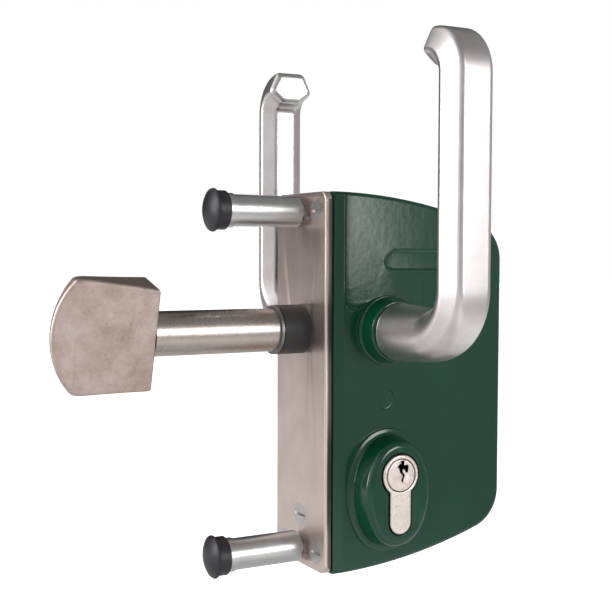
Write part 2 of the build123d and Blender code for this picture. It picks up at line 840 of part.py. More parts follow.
hook_head.part.label = "hook_head"

with BuildPart() as hook_head_screw:
    with BuildSketch(head_below.offset(head_spigot_radius + fixed_gap)):
        with Locations((-rod_reach - head_screw_offset, 0)):
            Circle(head_screw_radius)
    extrude(amount=head_height / 2 - head_spigot_radius - 1)
    with BuildSketch(head_below.offset(head_height / 2 - 1)):
        with Locations((-rod_reach - head_screw_offset, 0)):
            RegularPolygon(grub_socket_flats / 2, 6, major_radius=False)
    extrude(amount=-grub_socket_depth, mode=Mode.SUBTRACT)
hook_head_screw.part.label = "hook_head_screw"

# Mitre gear on the rod's inner end, pinned through its hub
rod_crossing = Plane((backset, 0, 0), x_dir=(0, 1, 0), z_dir=(1, 0, 0))
with BuildPart() as rod_gear:
    add(mitre_gear(rod_crossing, -teeth_ahead, teeth_behind, 0))
    with BuildSketch(at_x(rod_shoulder_x)):
        Circle(gear_hub_radius)
    extrude(amount=gear_hub_end_x - rod_shoulder_x)
    with BuildSketch(at_x(gear_hub_end_x)):
        Circle(rod_radius)
    extrude(amount=rod_end_x - gear_hub_end_x - gear_core_setback)
    with BuildSketch(at_x(rod_shoulder_x)):
        Circle(rod_spigot_radius + fixed_gap)
    extrude(amount=gear_heel, mode=Mode.SUBTRACT)
    with BuildSketch(Plane.XY.offset(-gear_heel)):
        with Locations((gear_pin_x, 0)):
            Circle(gear_pin_radius)
    extrude(amount=2 * gear_heel, mode=Mode.SUBTRACT)
rod_gear.part.label = "rod_gear"

with BuildPart() as rod_gear_pin:
    with BuildSketch(Plane.XY.offset(-gear_hub_radius + gear_pin_inset)):
        with Locations((gear_pin_x, 0)):
            Circle(gear_pin_radius - fixed_gap)
    extrude(amount=2 * (gear_hub_radius - gear_pin_inset))
rod_gear_pin.part.label = "rod_gear_pin"

# Follower: square-holed hub with a notched locking disc in front and its mitre gear behind
follower_crossing = Plane((backset, 0, 0), x_dir=(-1, 0, 0), z_dir=(0, -1, 0))
with BuildPart() as follower:
    add(mitre_gear(follower_crossing, -teeth_behind - 1, teeth_ahead, 180 / gear_teeth))
    for start_y, end_y, radius in (
        (-journal_end_y, -lock_disc_y, follower_radius),
        (-lock_disc_y, gear_toe, follower_waist_radius),
        (gear_toe, journal_end_y, follower_radius),
        (-thrust_y, -lock_disc_y, follower_shoulder_radius),
        (gear_back_y, thrust_y, follower_shoulder_radius),
        (gear_back_y, gear_back_y + gear_back_thickness, lock_disc_radius),
        (-lock_disc_y - lock_disc_thickness, -lock_disc_y, lock_disc_radius),
    ):
        with BuildSketch(at_y(start_y, backset)):
            Circle(radius)
        extrude(amount=start_y - end_y)
    with BuildSketch(at_y(-lock_disc_y - lock_disc_thickness, backset)):
        for angle in (0, -90):
            with PolarLocations((notch_floor_radius + lock_disc_radius) / 2, 1, start_angle=angle):
                Rectangle(lock_disc_radius - notch_floor_radius, notch_width)
        with Locations((0, -lock_disc_radius), (lock_disc_radius, 0)):
            Rectangle(notch_width / 2, notch_width / 2)
    extrude(amount=-lock_disc_thickness, mode=Mode.SUBTRACT)
    with BuildSketch(at_y(-journal_end_y, backset)):
        Rectangle(spindle_size + 2 * running_gap, spindle_size + 2 * running_gap)
    extrude(amount=-2 * journal_end_y, mode=Mode.SUBTRACT)
follower.part.label = "follower"

# Bushes that the handles and the follower turn in
with BuildPart() as front_handle_bush:
    with BuildSketch(at_y(handle_collar_y + handle_bush_end_inset, backset)):
        Circle(handle_bush_radius - fixed_gap)
    extrude(amount=-(front_inner_y - handle_collar_y - handle_bush_end_inset))
    with BuildSketch(at_y(front_inner_y, backset)):
        Circle(bush_lip_radius)
    extrude(amount=-bush_lip_thickness)
    with BuildSketch(at_y(handle_collar_y, backset)):
        Circle(follower_radius + running_gap)
    extrude(amount=-(front_inner_y - handle_collar_y + bush_lip_thickness), mode=Mode.SUBTRACT)
front_handle_bush.part.label = "front_handle_bush"

with BuildPart() as rear_handle_bush:
    mirror(front_handle_bush.part, about=Plane.XZ)
rear_handle_bush.part.label = "rear_handle_bush"

# Return spring round the follower's waist
with BuildPart() as return_spring:
    with BuildLine() as spring_line:
        Helix(
            spring_pitch,
            spring_pitch * spring_turns,
            spring_radius,
            center=(backset, spring_y, 0),
            direction=(0, 1, 0),
        )
    with BuildSketch(Plane(spring_line.line @ 0, z_dir=spring_line.line % 0)):
        Circle(spring_wire / 2)
    sweep(is_frenet=True)
return_spring.part.label = "return_spring"

# Square spindle through the follower and both handles
with BuildPart() as handle_spindle:
    with BuildSketch(at_y(-spindle_half_length, backset)):
        Rectangle(spindle_size, spindle_size)
    extrude(amount=-2 * spindle_half_length)
    chamfer(handle_spindle.faces().filter_by(Axis.Y).edges(), spindle_chamfer)
handle_spindle.part.label = "handle_spindle"

# Lever handle: a round neck that bends up into a flattened grip with a turned-back tip
with BuildPart() as front_handle:
    lever_parts = []
    for share, lean, y in (
        (0.0, 0, neck_y),
        (0.12, 0, (neck_y + bend_y) / 2),
        (0.33, 0, bend_y),
        (0.6, 30, None),
        (0.85, 60, None),
        (1.0, 90, None),
    ):
        swing = math.radians(lean)
        lever_parts.append(
            lever_section(
                y if y else bend_y + neck_bend_radius * math.sin(swing),
                neck_bend_radius * (1 - math.cos(swing)),
                lean,
                share,
            ).face()
        )
    loft(lever_parts)
    extrude(lever_section(grip_y, neck_bend_radius, 90, 1.0), amount=tip_centre_z - neck_bend_radius)
    revolve(
        lever_section(grip_y, tip_centre_z, 90, 1.0),
        axis=Axis((backset, -tip_bend_y, tip_centre_z), (-1, 0, 0)),
        revolution_arc=90,
    )
    extrude(
        lever_section(tip_bend_y, tip_centre_z + tip_bend_radius, 180, 1.0),
        amount=tip_bend_y - tip_end_y,
    )
    tip_faces = front_handle.faces().filter_by(Axis.Y).sort_by(Axis.Z)
    fillet(tip_faces[-1].edges(), tip_round)
    with BuildSketch(at_y(-neck_y, backset)):
        Circle(follower_radius)
    extrude(amount=-handle_spigot_length)
    with BuildSketch(at_y(-neck_y + handle_spigot_length, backset)):
        Rectangle(spindle_size + 2 * running_gap, spindle_size + 2 * running_gap)
    extrude(
        amount=spindle_half_length + handle_bore_spare - neck_y + handle_spigot_length,
        mode=Mode.SUBTRACT,
    )
    with BuildSketch(Plane.XY.offset(-spindle_size / 2)):
        with Locations((backset, -handle_screw_y)):
            Circle(handle_screw_radius + thread_gap)
    extrude(amount=-neck_radius, mode=Mode.SUBTRACT)
front_handle.part.label = "front_handle"

with BuildPart() as rear_handle:
    mirror(front_handle.part, about=Plane.XZ)
rear_handle.part.label = "rear_handle"

with BuildPart() as handle_screws:
    screw_top_z = -spindle_size / 2 - fixed_gap
    for y in (-handle_screw_y, handle_screw_y):
        with BuildSketch(Plane.XY.offset(screw_top_z)):
            with Locations((backset, y)):
                Circle(handle_screw_radius)
        extrude(amount=-handle_screw_length)
        with BuildSketch(Plane.XY.offset(screw_top_z - handle_screw_length)):
            with Locations((backset, y)):
                RegularPolygon(grub_socket_flats / 2, 6, major_radius=False)
        extrude(amount=grub_socket_depth, mode=Mode.SUBTRACT)
handle_screws.part.label = "handle_screws"

# Euro profile cylinder: a body with two plugs and a cam between them
with BuildPart() as cylinder_body:
    extrude(euro_profile(-cylinder_half_length), amount=-2 * cylinder_half_length)
    chamfer(cylinder_body.faces().filter_by(Axis.Y).edges(), cylinder_edge)
    with BuildSketch(at_y(-cam_gap / 2)):
        with Locations((backset, cylinder_z + cylinder_head_radius)):
            Rectangle(
                3 * cylinder_head_radius,
                cylinder_head_radius + cam_gap_depth,
                align=(Align.CENTER, Align.MAX),
            )
    extrude(amount=-cam_gap, mode=Mode.SUBTRACT)
    with BuildSketch(at_y(-cylinder_half_length)):
        with Locations((backset, cylinder_z)):
            Circle(plug_radius)
    extrude(amount=-2 * cylinder_half_length, mode=Mode.SUBTRACT)
    with BuildSketch(at_x(backset - cylinder_leg_width)):
        with Locations((0, cylinder_screw_z)):
            Circle(cylinder_screw_radius + thread_gap)
    extrude(amount=2 * cylinder_leg_width, mode=Mode.SUBTRACT)
cylinder_body.part.label = "cylinder_body"

with BuildPart() as front_plug:
    with BuildSketch(at_y(-cylinder_half_length, backset, cylinder_z)):
        Circle(plug_radius - running_gap)
    extrude(amount=-(cylinder_half_length - cam_gap / 2 - moving_gap))
    with BuildSketch(at_y(-cylinder_half_length, backset, cylinder_z)):
        Circle(plug_tail_radius)
    extrude(amount=-(cylinder_half_length - plug_tail_gap))
    with BuildSketch(at_y(-cylinder_half_length, backset, cylinder_z)):
        with BuildLine():
            Polyline(*keyway_outline, close=True)
        make_face()
    extrude(amount=-keyway_depth, mode=Mode.SUBTRACT)
front_plug.part.label = "front_plug"

with BuildPart() as rear_plug:
    add(front_plug.part.rotate(Axis((backset, 0, cylinder_z), (0, 0, 1)), 180))
rear_plug.part.label = "rear_plug"

with BuildPart() as cylinder_cam:
    with BuildSketch(at_y(-cam_thickness / 2, backset, cylinder_z)):
        Circle(cam_ring_radius)
        with Locations(Location((0, 0, 0), (0, 0, cam_rest_angle))):
            with Locations(((cam_radius - cam_bit_width / 2) / 2, 0)):
                Rectangle(cam_radius - cam_bit_width / 2, cam_bit_width)
            with Locations((cam_radius - cam_bit_width / 2, 0)):
                Circle(cam_bit_width / 2)
        Circle(plug_tail_radius + running_gap, mode=Mode.SUBTRACT)
    extrude(amount=-cam_thickness)
cylinder_cam.part.label = "cylinder_cam"

# Locking slide: its tongue goes up into the follower's disc when the cam lifts its prongs
with BuildPart() as locking_slide:
    with BuildSketch(at_y(slide_front_y)):
        with Locations((backset, tongue_tip_z)):
            Rectangle(tongue_width, tongue_length + arm_height, align=(Align.CENTER, Align.MAX))
        with Locations((backset - tongue_width / 2, arm_top_z)):
            Rectangle(
                bar_right - backset + tongue_width / 2, arm_height, align=(Align.MIN, Align.MAX)
            )
        with Locations((bar_left, bar_top_z)):
            Rectangle(bar_right - bar_left, bar_top_z - bar_foot_z, align=(Align.MIN, Align.MAX))
        with Locations((guide_x, (guide_slot_top_z + guide_slot_foot_z) / 2)):
            SlotOverall(
                guide_slot_top_z - guide_slot_foot_z,
                2 * (guide_pin_radius + running_gap),
                90,
                mode=Mode.SUBTRACT,
            )
    extrude(amount=-slide_thickness)
    with BuildSketch(at_y(slide_front_y + slide_thickness)):
        for side in (1, -1):
            with Locations((prong_left, prong_middle_z + side * (prong_gap + prong_height) / 2)):
                Rectangle(prong_right - prong_left, prong_height, align=(Align.MIN, Align.CENTER))
    extrude(amount=-prong_depth)
locking_slide.part.label = "locking_slide"

with BuildPart() as guide_pins:
    pin_end_y = slide_front_y + slide_thickness + moving_gap
    pin_foot_y = slide_front_y - moving_gap - guide_pin_seat
    for z in guide_pin_z:
        with BuildSketch(at_y(pin_foot_y, guide_x, z)):
            Circle(guide_pin_radius)
        extrude(amount=-(pin_end_y - pin_foot_y))
        with BuildSketch(at_y(pin_end_y, guide_x, z)):
            Circle(guide_pin_head_radius)
        extrude(amount=-guide_pin_head_height)
guide_pins.part.label = "guide_pins"

for name in (
    faceplate,
    front_case,
    rear_cover,
    plate_screws,
    cover_screws,
    cylinder_screw,
    fixing_bolts,
    fixing_nuts,
    fixing_caps,
    rod_bush,
    hook_rod,
    rod_circlip,
    hook_head,
    hook_head_screw,
    rod_gear,
    rod_gear_pin,
    follower,
    front_handle_bush,
    rear_handle_bush,
    return_spring,
    handle_spindle,
    front_handle,
    rear_handle,
    handle_screws,
    cylinder_body,
    front_plug,
    rear_plug,
    cylinder_cam,
    locking_slide,
    guide_pins,
):
    export_step(name.part, "parts/" + name.part.label + ".step")
    print(name.part.label, len(name.part.solids()), round(name.part.volume))
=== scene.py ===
import json
import math

import bmesh
import bpy
from mathutils import Matrix, Vector


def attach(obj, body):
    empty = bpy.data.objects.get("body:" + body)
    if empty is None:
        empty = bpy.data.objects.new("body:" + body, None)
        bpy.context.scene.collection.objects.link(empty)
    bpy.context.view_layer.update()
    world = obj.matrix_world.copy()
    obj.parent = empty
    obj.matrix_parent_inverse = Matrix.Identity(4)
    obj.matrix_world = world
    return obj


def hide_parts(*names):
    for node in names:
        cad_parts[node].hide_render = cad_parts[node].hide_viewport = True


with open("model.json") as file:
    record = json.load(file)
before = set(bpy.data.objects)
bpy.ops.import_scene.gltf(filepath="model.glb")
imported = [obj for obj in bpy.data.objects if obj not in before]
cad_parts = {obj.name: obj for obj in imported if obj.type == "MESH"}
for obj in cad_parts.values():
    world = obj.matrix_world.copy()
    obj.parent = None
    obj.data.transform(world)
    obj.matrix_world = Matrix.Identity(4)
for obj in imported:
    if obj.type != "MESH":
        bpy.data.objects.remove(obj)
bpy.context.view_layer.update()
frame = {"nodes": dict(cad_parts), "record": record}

# Sliding gate lock. The scene is in metres, the settings are in millimetres and degrees.
# The origin is on the rod's axis at the faceplate, X runs into the case and -Y is the front.
mm = 0.001
joinGap = 2e-6  # vertices closer than this become one
nodeGap = 1e-6  # the same, for a copy of a node's own mesh
scene = bpy.context.scene


def at(x, y, z):
    return Vector((x * mm, y * mm, z * mm))


# Small helpers for meshes


def vertsIn(items):
    return [item for item in items if isinstance(item, bmesh.types.BMVert)]


def newEdges(bm, before):
    return [edge for edge in bm.edges if edge not in before]


def arcOn(bm, vert, centre, axis, angle, steps):
    # carries a wire on from vert round an arc and gives the vertex at its end
    result = bmesh.ops.spin(
        bm, geom=[vert], cent=centre, axis=axis, angle=angle, steps=steps, use_duplicate=False
    )
    return vertsIn(result["geom_last"])[0]


def lineOn(bm, vert, x, y, z):
    end = bm.verts.new(at(x, y, z))
    bm.edges.new((vert, end))
    return end


def circleLoop(bm, x, y, z, radius, steps):
    # a closed circle of edges round Y
    before = set(bm.edges)
    vert = bm.verts.new(at(x + radius, y, z))
    bmesh.ops.spin(
        bm,
        geom=[vert],
        cent=at(x, y, z),
        axis=(0, 1, 0),
        angle=2 * math.pi,
        steps=steps,
        use_merge=True,
    )
    return newEdges(bm, before)


def skin(bm, loops):
    # joins a row of closed loops, one to the next
    for first, second in zip(loops, loops[1:]):
        bmesh.ops.bridge_loops(bm, edges=first + second)


def fillFlat(bm, edges, normal):
    bmesh.ops.triangle_fill(bm, use_beauty=True, edges=edges, normal=normal)


def cutPlane(bm, place, normal, clear=False):
    # cuts new edges in a plane; clear takes away what lies beyond it
    bmesh.ops.bisect_plane(
        bm,
        geom=bm.verts[:] + bm.edges[:] + bm.faces[:],
        plane_co=place,
        plane_no=normal,
        clear_outer=clear,
    )


def roundOff(bm, geom, offset, segments, affect="EDGES"):
    bmesh.ops.bevel(
        bm,
        geom=geom,
        offset=offset,
        offset_type="OFFSET",
        segments=segments,
        profile=0.5,
        affect=affect,
        material=-1,
    )


def lathe(bm, profile, origin, axis, across, steps):
    # turns a profile of (along, radius) in millimetres about an axis; ends on the axis are closed
    origin, axis, across = Vector(origin) * mm, Vector(axis), Vector(across)
    verts = [bm.verts.new(origin + axis * a * mm + across * r * mm) for a, r in profile]
    edges = [bm.edges.new(pair) for pair in zip(verts, verts[1:])]
    bmesh.ops.spin(
        bm,
        geom=verts + edges,
        cent=origin,
        axis=axis,
        angle=2 * math.pi,
        steps=steps,
        use_merge=True,
    )


def arcSteps(count):
    # the angles of a quarter circle in even steps
    return [math.radians(90 * step / count) for step in range(count + 1)]


def edgeRows(radius, steps):
    # how far behind the end face and how far inside the outline a rounded edge runs
    return [(radius * (1 - math.sin(a)), radius * (1 - math.cos(a))) for a in arcSteps(steps)]


def crownRows(out, across, radius, steps):
    # (out, across) rows round an outer corner
    return [(out - behind, across - inset) for behind, inset in edgeRows(radius, steps)]


def hollowRows(out, across, rise, reach, steps):
    # (out, across) rows of a hollow that leaves the level out and ends along the wall across
    return [
        (out + rise * (1 - math.cos(a)), across + reach * (1 - math.sin(a)))
        for a in arcSteps(steps)
    ]


def finishPiece(bm, name, body, material, replaced, sharp):
    bmesh.ops.remove_doubles(bm, verts=bm.verts, dist=joinGap)
    bmesh.ops.recalc_face_normals(bm, faces=bm.faces)
    mesh = bpy.data.meshes.new(name)
    bm.to_mesh(mesh)
    bm.free()
    mesh.shade_smooth()
    mesh.set_sharp_from_angle(angle=math.radians(sharp))
    piece = bpy.data.objects.new(name, mesh)
    scene.collection.objects.link(piece)
    mesh.materials.append(material)
    weights = piece.modifiers.new("weights", "WEIGHTED_NORMAL")
    weights.keep_sharp = True
    weights.weight = 100
    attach(piece, body)
    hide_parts(*replaced)
    print("made", name, len(mesh.polygons), "faces")
    return piece


# Small helpers for materials


def grey(value):
    return (value, value, value)


def newMaterial(name):
    material = bpy.data.materials.new(name)
    material.use_nodes = True
    tree = material.node_tree
    shader = tree.nodes["Principled BSDF"]
    coords = tree.nodes.new("ShaderNodeTexCoord")
    return material, tree, shader, coords.outputs["Object"]


def noise(tree, coords, scale, detail=4.0, rough=0.55, stretch=None):
    if stretch:
        mapping = tree.nodes.new("ShaderNodeMapping")
        mapping.inputs["Scale"].default_value = stretch
        tree.links.new(coords, mapping.inputs["Vector"])
        coords = mapping.outputs["Vector"]
    node = tree.nodes.new("ShaderNodeTexNoise")
    node.inputs["Scale"].default_value = scale
    node.inputs["Detail"].default_value = detail
    node.inputs["Roughness"].default_value = rough
    tree.links.new(coords, node.inputs["Vector"])
    return node.outputs["Fac"]


def ramp(tree, value, stops):
    # stops are (place, colour), and a plain number is a grey
    node = tree.nodes.new("ShaderNodeValToRGB")
    elements = node.color_ramp.elements
    while len(elements) < len(stops):
        elements.new(0.5)
    for element, (place, colour) in zip(elements, stops):
        element.position = place
        element.color = (*(colour if isinstance(colour, tuple) else grey(colour)), 1)
    tree.links.new(value, node.inputs["Fac"])
    return node.outputs["Color"]


def spread(tree, value, low, high, fromLow=0.25, fromHigh=0.75):
    node = tree.nodes.new("ShaderNodeMapRange")
    node.inputs["From Min"].default_value = fromLow
    node.inputs["From Max"].default_value = fromHigh
    node.inputs["To Min"].default_value = low
    node.inputs["To Max"].default_value = high
    tree.links.new(value, node.inputs["Value"])
    return node.outputs["Result"]


def blendColour(tree, factor, first, second, kind="MIX"):
    node = tree.nodes.new("ShaderNodeMix")
    node.data_type = "RGBA"
    node.blend_type = kind
    sockets = (node.inputs[0], node.inputs[6], node.inputs[7])  # factor and the two colours
    for socket, value in zip(sockets, (factor, first, second)):
        if isinstance(value, (int, float)):
            socket.default_value = value
        elif isinstance(value, tuple):
            socket.default_value = (*value, 1)
        else:
            tree.links.new(value, socket)
    return node.outputs[2]


def setLook(tree, shader, colour, roughness, metallic=0.0):
    tree.links.new(colour, shader.inputs["Base Color"])
    tree.links.new(roughness, shader.inputs["Roughness"])
    shader.inputs["Metallic"].default_value = metallic


def bumps(tree, shader, *layers):
    # layers are (height, strength, distance in millimetres)
    normal = None
    for height, strength, distance in layers:
        node = tree.nodes.new("ShaderNodeBump")
        node.inputs["Strength"].default_value = strength
        node.inputs["Distance"].default_value = distance * mm
        tree.links.new(height, node.inputs["Height"])
        if normal:
            tree.links.new(normal, node.inputs["Normal"])
        normal = node.outputs["Normal"]
    tree.links.new(normal, shader.inputs["Normal"])


# Materials

greenCoatLook = {
    "deep": (0.0006, 0.047, 0.0215),
    "pale": (0.0012, 0.057, 0.027),
    "worn": (0.0012, 0.072, 0.037),
    "roughness": (0.10, 0.15),
    "specular": 0.52,
    "coat": 0.04,
    "coatRoughness": 0.06,
}


def makeGreenCoat():
    look = greenCoatLook
    material, tree, shader, coords = newMaterial("greenCoat")
    broad = noise(tree, coords, scale=22, detail=3)
    peel = noise(tree, coords, scale=380, detail=2, rough=0.4)
    drawn = noise(tree, coords, scale=300, detail=3, rough=0.5, stretch=(1, 1, 0.08))
    colour = ramp(tree, broad, [(0.35, look["deep"]), (0.7, look["pale"])])
    surface = tree.nodes.new("ShaderNodeNewGeometry")
    worn = ramp(tree, surface.outputs["Pointiness"], [(0.515, 0.0), (0.56, 0.6)])
    colour = blendColour(tree, worn, colour, look["worn"])
    setLook(tree, shader, colour, spread(tree, drawn, *look["roughness"]))
    shader.inputs["Specular IOR Level"].default_value = look["specular"]
    shader.inputs["Coat Weight"].default_value = look["coat"]
    shader.inputs["Coat Roughness"].default_value = look["coatRoughness"]
    bumps(tree, shader, (peel, 0.22, 0.10), (drawn, 0.05, 0.05))
    return material


aluminiumLook = {
    "dark": (0.60, 0.555, 0.555),
    "light": (0.73, 0.68, 0.68),
    "roughness": (0.29, 0.40),
}


def makeSatinAluminium():
    look = aluminiumLook
    material, tree, shader, coords = newMaterial("satinAluminium")
    broad = noise(tree, coords, scale=70, detail=5, rough=0.6)
    grain = noise(tree, coords, scale=900, detail=4, rough=0.7)
    fine = noise(tree, coords, scale=3200, detail=3, rough=0.6)
    pebble = noise(tree, coords, scale=420, detail=3, rough=0.5)
    colour = ramp(tree, broad, [(0.3, look["dark"]), (0.7, look["light"])])
    setLook(tree, shader, colour, spread(tree, grain, *look["roughness"]), metallic=1.0)
    bumps(tree, shader, (pebble, 0.16, 0.09), (grain, 0.24, 0.05), (fine, 0.22, 0.02))
    return material


headSteelLook = {
    "stain": (0.47, 0.365, 0.325),
    "middle": (0.55, 0.435, 0.395),
    "bright": (0.65, 0.54, 0.50),
    "pit": (0.72, 0.68, 0.64),
    "pitShare": 0.6,
    "roughness": (0.52, 0.36),
}


def makeHeadSteel():
    look = headSteelLook
    material, tree, shader, coords = newMaterial("headSteel")
    patch = noise(tree, coords, scale=95, detail=8, rough=0.68)
    grain = noise(tree, coords, scale=1100, detail=4, rough=0.7)
    pits = noise(tree, coords, scale=420, detail=3, rough=0.5)
    stops = [(0.36, look["stain"]), (0.47, look["middle"]), (0.62, look["bright"])]
    specks = ramp(tree, pits, [(0.62, 1.0), (0.72, look["pit"])])
    colour = blendColour(tree, look["pitShare"], ramp(tree, patch, stops), specks, "MULTIPLY")
    setLook(tree, shader, colour, spread(tree, patch, *look["roughness"]), metallic=1.0)
    bumps(tree, shader, (pits, 0.15, 0.08), (grain, 0.25, 0.03))
    return material


metalLooks = {
    "rodSteel": {
        "dark": (0.44, 0.385, 0.35),
        "light": (0.53, 0.47, 0.435),
        "roughness": (0.24, 0.34),
        "stretch": (1, 0.06, 0.06),
        "scale": 2600,
        "bump": 0.05,
    },
    "plateSteel": {
        "dark": (0.64, 0.53, 0.485),
        "light": (0.75, 0.63, 0.585),
        "roughness": (0.28, 0.40),
        "stretch": (1, 1, 0.03),
        "scale": 2200,
        "bump": 0.15,
    },
    "nickel": {
        "dark": (0.84, 0.73, 0.66),
        "light": (0.93, 0.82, 0.75),
        "roughness": (0.24, 0.34),
        "stretch": (1, 1, 1),
        "scale": 700,
        "bump": 0.04,
    },
    "zincSteel": {
        "dark": (0.50, 0.50, 0.50),
        "light": (0.62, 0.62, 0.61),
        "roughness": (0.26, 0.40),
        "stretch": (1, 1, 1),
        "scale": 600,
        "bump": 0.12,
    },
    "springSteel": {
        "dark": (0.20, 0.20, 0.21),
        "light": (0.30, 0.30, 0.31),
        "roughness": (0.30, 0.45),
        "stretch": (1, 1, 1),
        "scale": 900,
        "bump": 0.15,
    },
    "gearSteel": {
        "dark": (0.36, 0.36, 0.36),
        "light": (0.46, 0.46, 0.46),
        "roughness": (0.30, 0.45),
        "stretch": (1, 1, 1),
        "scale": 1200,
        "bump": 0.15,
    },
}


def makeMetal(name):
    # machined, brushed or plated: the grain is stretched where the metal was drawn or brushed
    look = metalLooks[name]
    material, tree, shader, coords = newMaterial(name)
    grain = noise(tree, coords, look["scale"], rough=0.6, stretch=look["stretch"])
    broad = noise(tree, coords, scale=60)
    colour = ramp(tree, broad, [(0.3, look["dark"]), (0.7, look["light"])])
    setLook(tree, shader, colour, spread(tree, grain, *look["roughness"]), metallic=1.0)
    bumps(tree, shader, (grain, look["bump"], 0.02))
    return material


plasticLooks = {
    "blackPlastic": {
        "dark": (0.012, 0.010, 0.014),
        "light": (0.020, 0.017, 0.023),
        "roughness": (0.38, 0.50),
    },
    "bearingPlastic": {
        "dark": (0.02, 0.02, 0.02),
        "light": (0.035, 0.035, 0.035),
        "roughness": (0.42, 0.55),
    },
    # painted shade: near black for the depth of the key slots
    "keyShadow": {
        "dark": (0.004, 0.004, 0.004),
        "light": (0.008, 0.007, 0.007),
        "roughness": (0.6, 0.8),
    },
}


def makePlastic(name):
    look = plasticLooks[name]
    material, tree, shader, coords = newMaterial(name)
    fine = noise(tree, coords, scale=1400, detail=3, rough=0.6)
    broad = noise(tree, coords, scale=120)
    colour = ramp(tree, broad, [(0.3, look["dark"]), (0.7, look["light"])])
    setLook(tree, shader, colour, spread(tree, broad, *look["roughness"]))
    bumps(tree, shader, (fine, 0.2, 0.03))
    return material


greenCoat = makeGreenCoat()
satinAluminium = makeSatinAluminium()
headSteel = makeHeadSteel()
metals = {name: makeMetal(name) for name in metalLooks}
plastics = {name: makePlastic(name) for name in plasticLooks}
print("materials ready")

slotLooks = {
    "stainless_plate": metals["plateSteel"],
    "green_coat": greenCoat,
    "zinc_steel": metals["zincSteel"],
    "black_plastic": plastics["blackPlastic"],
    "bearing_plastic": plastics["bearingPlastic"],
    "satin_steel": metals["rodSteel"],
    "spring_steel": metals["springSteel"],
    "gear_steel": metals["gearSteel"],
    "satin_aluminium": satinAluminium,
    "nickel": metals["nickel"],
}
for part in frame["record"]["subparts"]:
    mesh = frame["nodes"][part["node"]].data
    mesh.materials.clear()
    mesh.materials.append(slotLooks[part["material_slot"]])

# Faceplate: the node's own plate with its long edges rounded

plateSize = {
    "halfWidth": 21.5,
    "top": 57.0,
    "foot": -100.0,
    "edge": 0.9,
    "fold": 60.0,  # only edges that turn by more than this are rounded
    "touch": 0.01,
}


def makeFaceplate():
    size = plateSize
    bm = bmesh.new()
    bm.from_mesh(frame["nodes"]["faceplate"].data)
    bmesh.ops.remove_doubles(bm, verts=bm.verts, dist=nodeGap)

    def near(length, place):
        return abs(length / mm - place) < size["touch"]

    def onRim(vert):
        side = near(abs(vert.co.y), size["halfWidth"])
        end = near(vert.co.z, size["top"]) or near(vert.co.z, size["foot"])
        return near(vert.co.x, 0) and (side or end)

    fold = math.radians(size["fold"])
    rim = [
        edge
        for edge in bm.edges
        if all(onRim(vert) for vert in edge.verts) and edge.calc_face_angle(0) > fold
    ]
    roundOff(bm, rim, size["edge"] * mm, segments=6)
    material = metals["plateSteel"]
    finishPiece(bm, "facePlate", "housing", material, ["faceplate"], sharp=40)


makeFaceplate()

# Case: front shell and rear cover share their loops

caseSize = {
    "left": 3.0,
    "right": 88.0,
    "middleZ": -21.5,
    "height": 157.0,
    "arch": 235.0,
    "corner": 17.0,
    "wall": 3.0,
    "front": -23.0,
    "rear": 23.0,
    "seam": 18.0,
    "seamEdge": 0.25,
    "edge": 1.8,
    "belt": 8.0,  # the front shell has extra loops this far from its seam and its front
    "bulge": 1.5,  # the band beside the faceplate falls by this much
    "band": 5.0,
    "crease": 0.9,
    "fade": 2.0,
    "groove": 0.75,
    "grooveWall": 0.015,
    "sink": 1.5,
    "reach": 1.0,
}
openingSize = {
    "axisX": 28.5,
    "cylinderZ": -58.8,
    "head": 8.75,
    "leg": 5.25,
    "footZ": -78.3,
    "gap": 0.4,
    "gapEdge": 0.15,
    "gapDepth": 3.0,
    "bore": 11.0,
}
collarSize = {
    "halfWidth": 15.0,
    "halfHeight": 21.5,
    "end": 12.5,
    "middleZ": -66.8,
    "taper": 11.0,
    "out": 11.3,
    "flare": 0.25,
    "step": 1.1,
    "stepRound": 0.4,
    "stepOut": 2.1,
    "rearStepOut": 0.8,
    "ledge": 1.2,
    "rim": 2.3,
}
handleCollar = {
    "radius": 14.5,
    "front": 12.9,
    "height": 9.5,
    "flare": 0.25,
    "step": 1.9,
    "stepRound": 0.35,
    "ledge": 0.5,
    "rim": 0.9,
    "innerRim": 0.3,
    "steps": 96,
}
# rows are how far out of the front and how far inside the outline each loop lies
pillSize = {
    "x": 45.5,
    "z": 29.0,
    "length": 37.0,
    "height": 9.5,
    "rows": (
        (0, -0.3), (0.2, 0), (0.3, 0.25), (0.3, 0.45), (0.15, 0.7), (-0.4, 1.15), (-0.5, 1.6)
    ),
}
dimpleSize = {
    "z": -29.0,
    "radius": 4.4,
    "rows": (
        (0, 0), (-0.06, 0.12), (-0.3, 0.3), (-0.58, 0.42), (-0.7, 0.7), (-0.66, 2.2), (-0.62, 3.4)
    ),
}


def caseLoop(bm, y, inset):
    # the arched outline: arch, corner, right side, corner, arch, left side
    size = caseSize
    before = set(bm.edges)
    arch, corner = size["arch"] - inset, size["corner"] - inset
    right, left, mid = size["right"] - inset, size["left"], size["middleZ"]
    drop = size["arch"] - size["height"] / 2
    swing = math.asin((right - corner - left) / (arch - corner))
    cornerZ = (arch - corner) * math.cos(swing) - drop
    up, rest = (0, 1, 0), math.pi / 2 - swing
    start = bm.verts.new(at(left, y, mid + arch - drop))
    vert = arcOn(bm, start, at(left, y, mid - drop), up, swing, 30)
    vert = arcOn(bm, vert, at(right - corner, y, mid + cornerZ), up, rest, 16)
    vert = lineOn(bm, vert, right, y, mid - cornerZ)
    vert = arcOn(bm, vert, at(right - corner, y, mid - cornerZ), up, rest, 16)
    vert = arcOn(bm, vert, at(left, y, mid + drop), up, swing, 30)
    bm.edges.new((vert, start))
    return newEdges(bm, before)


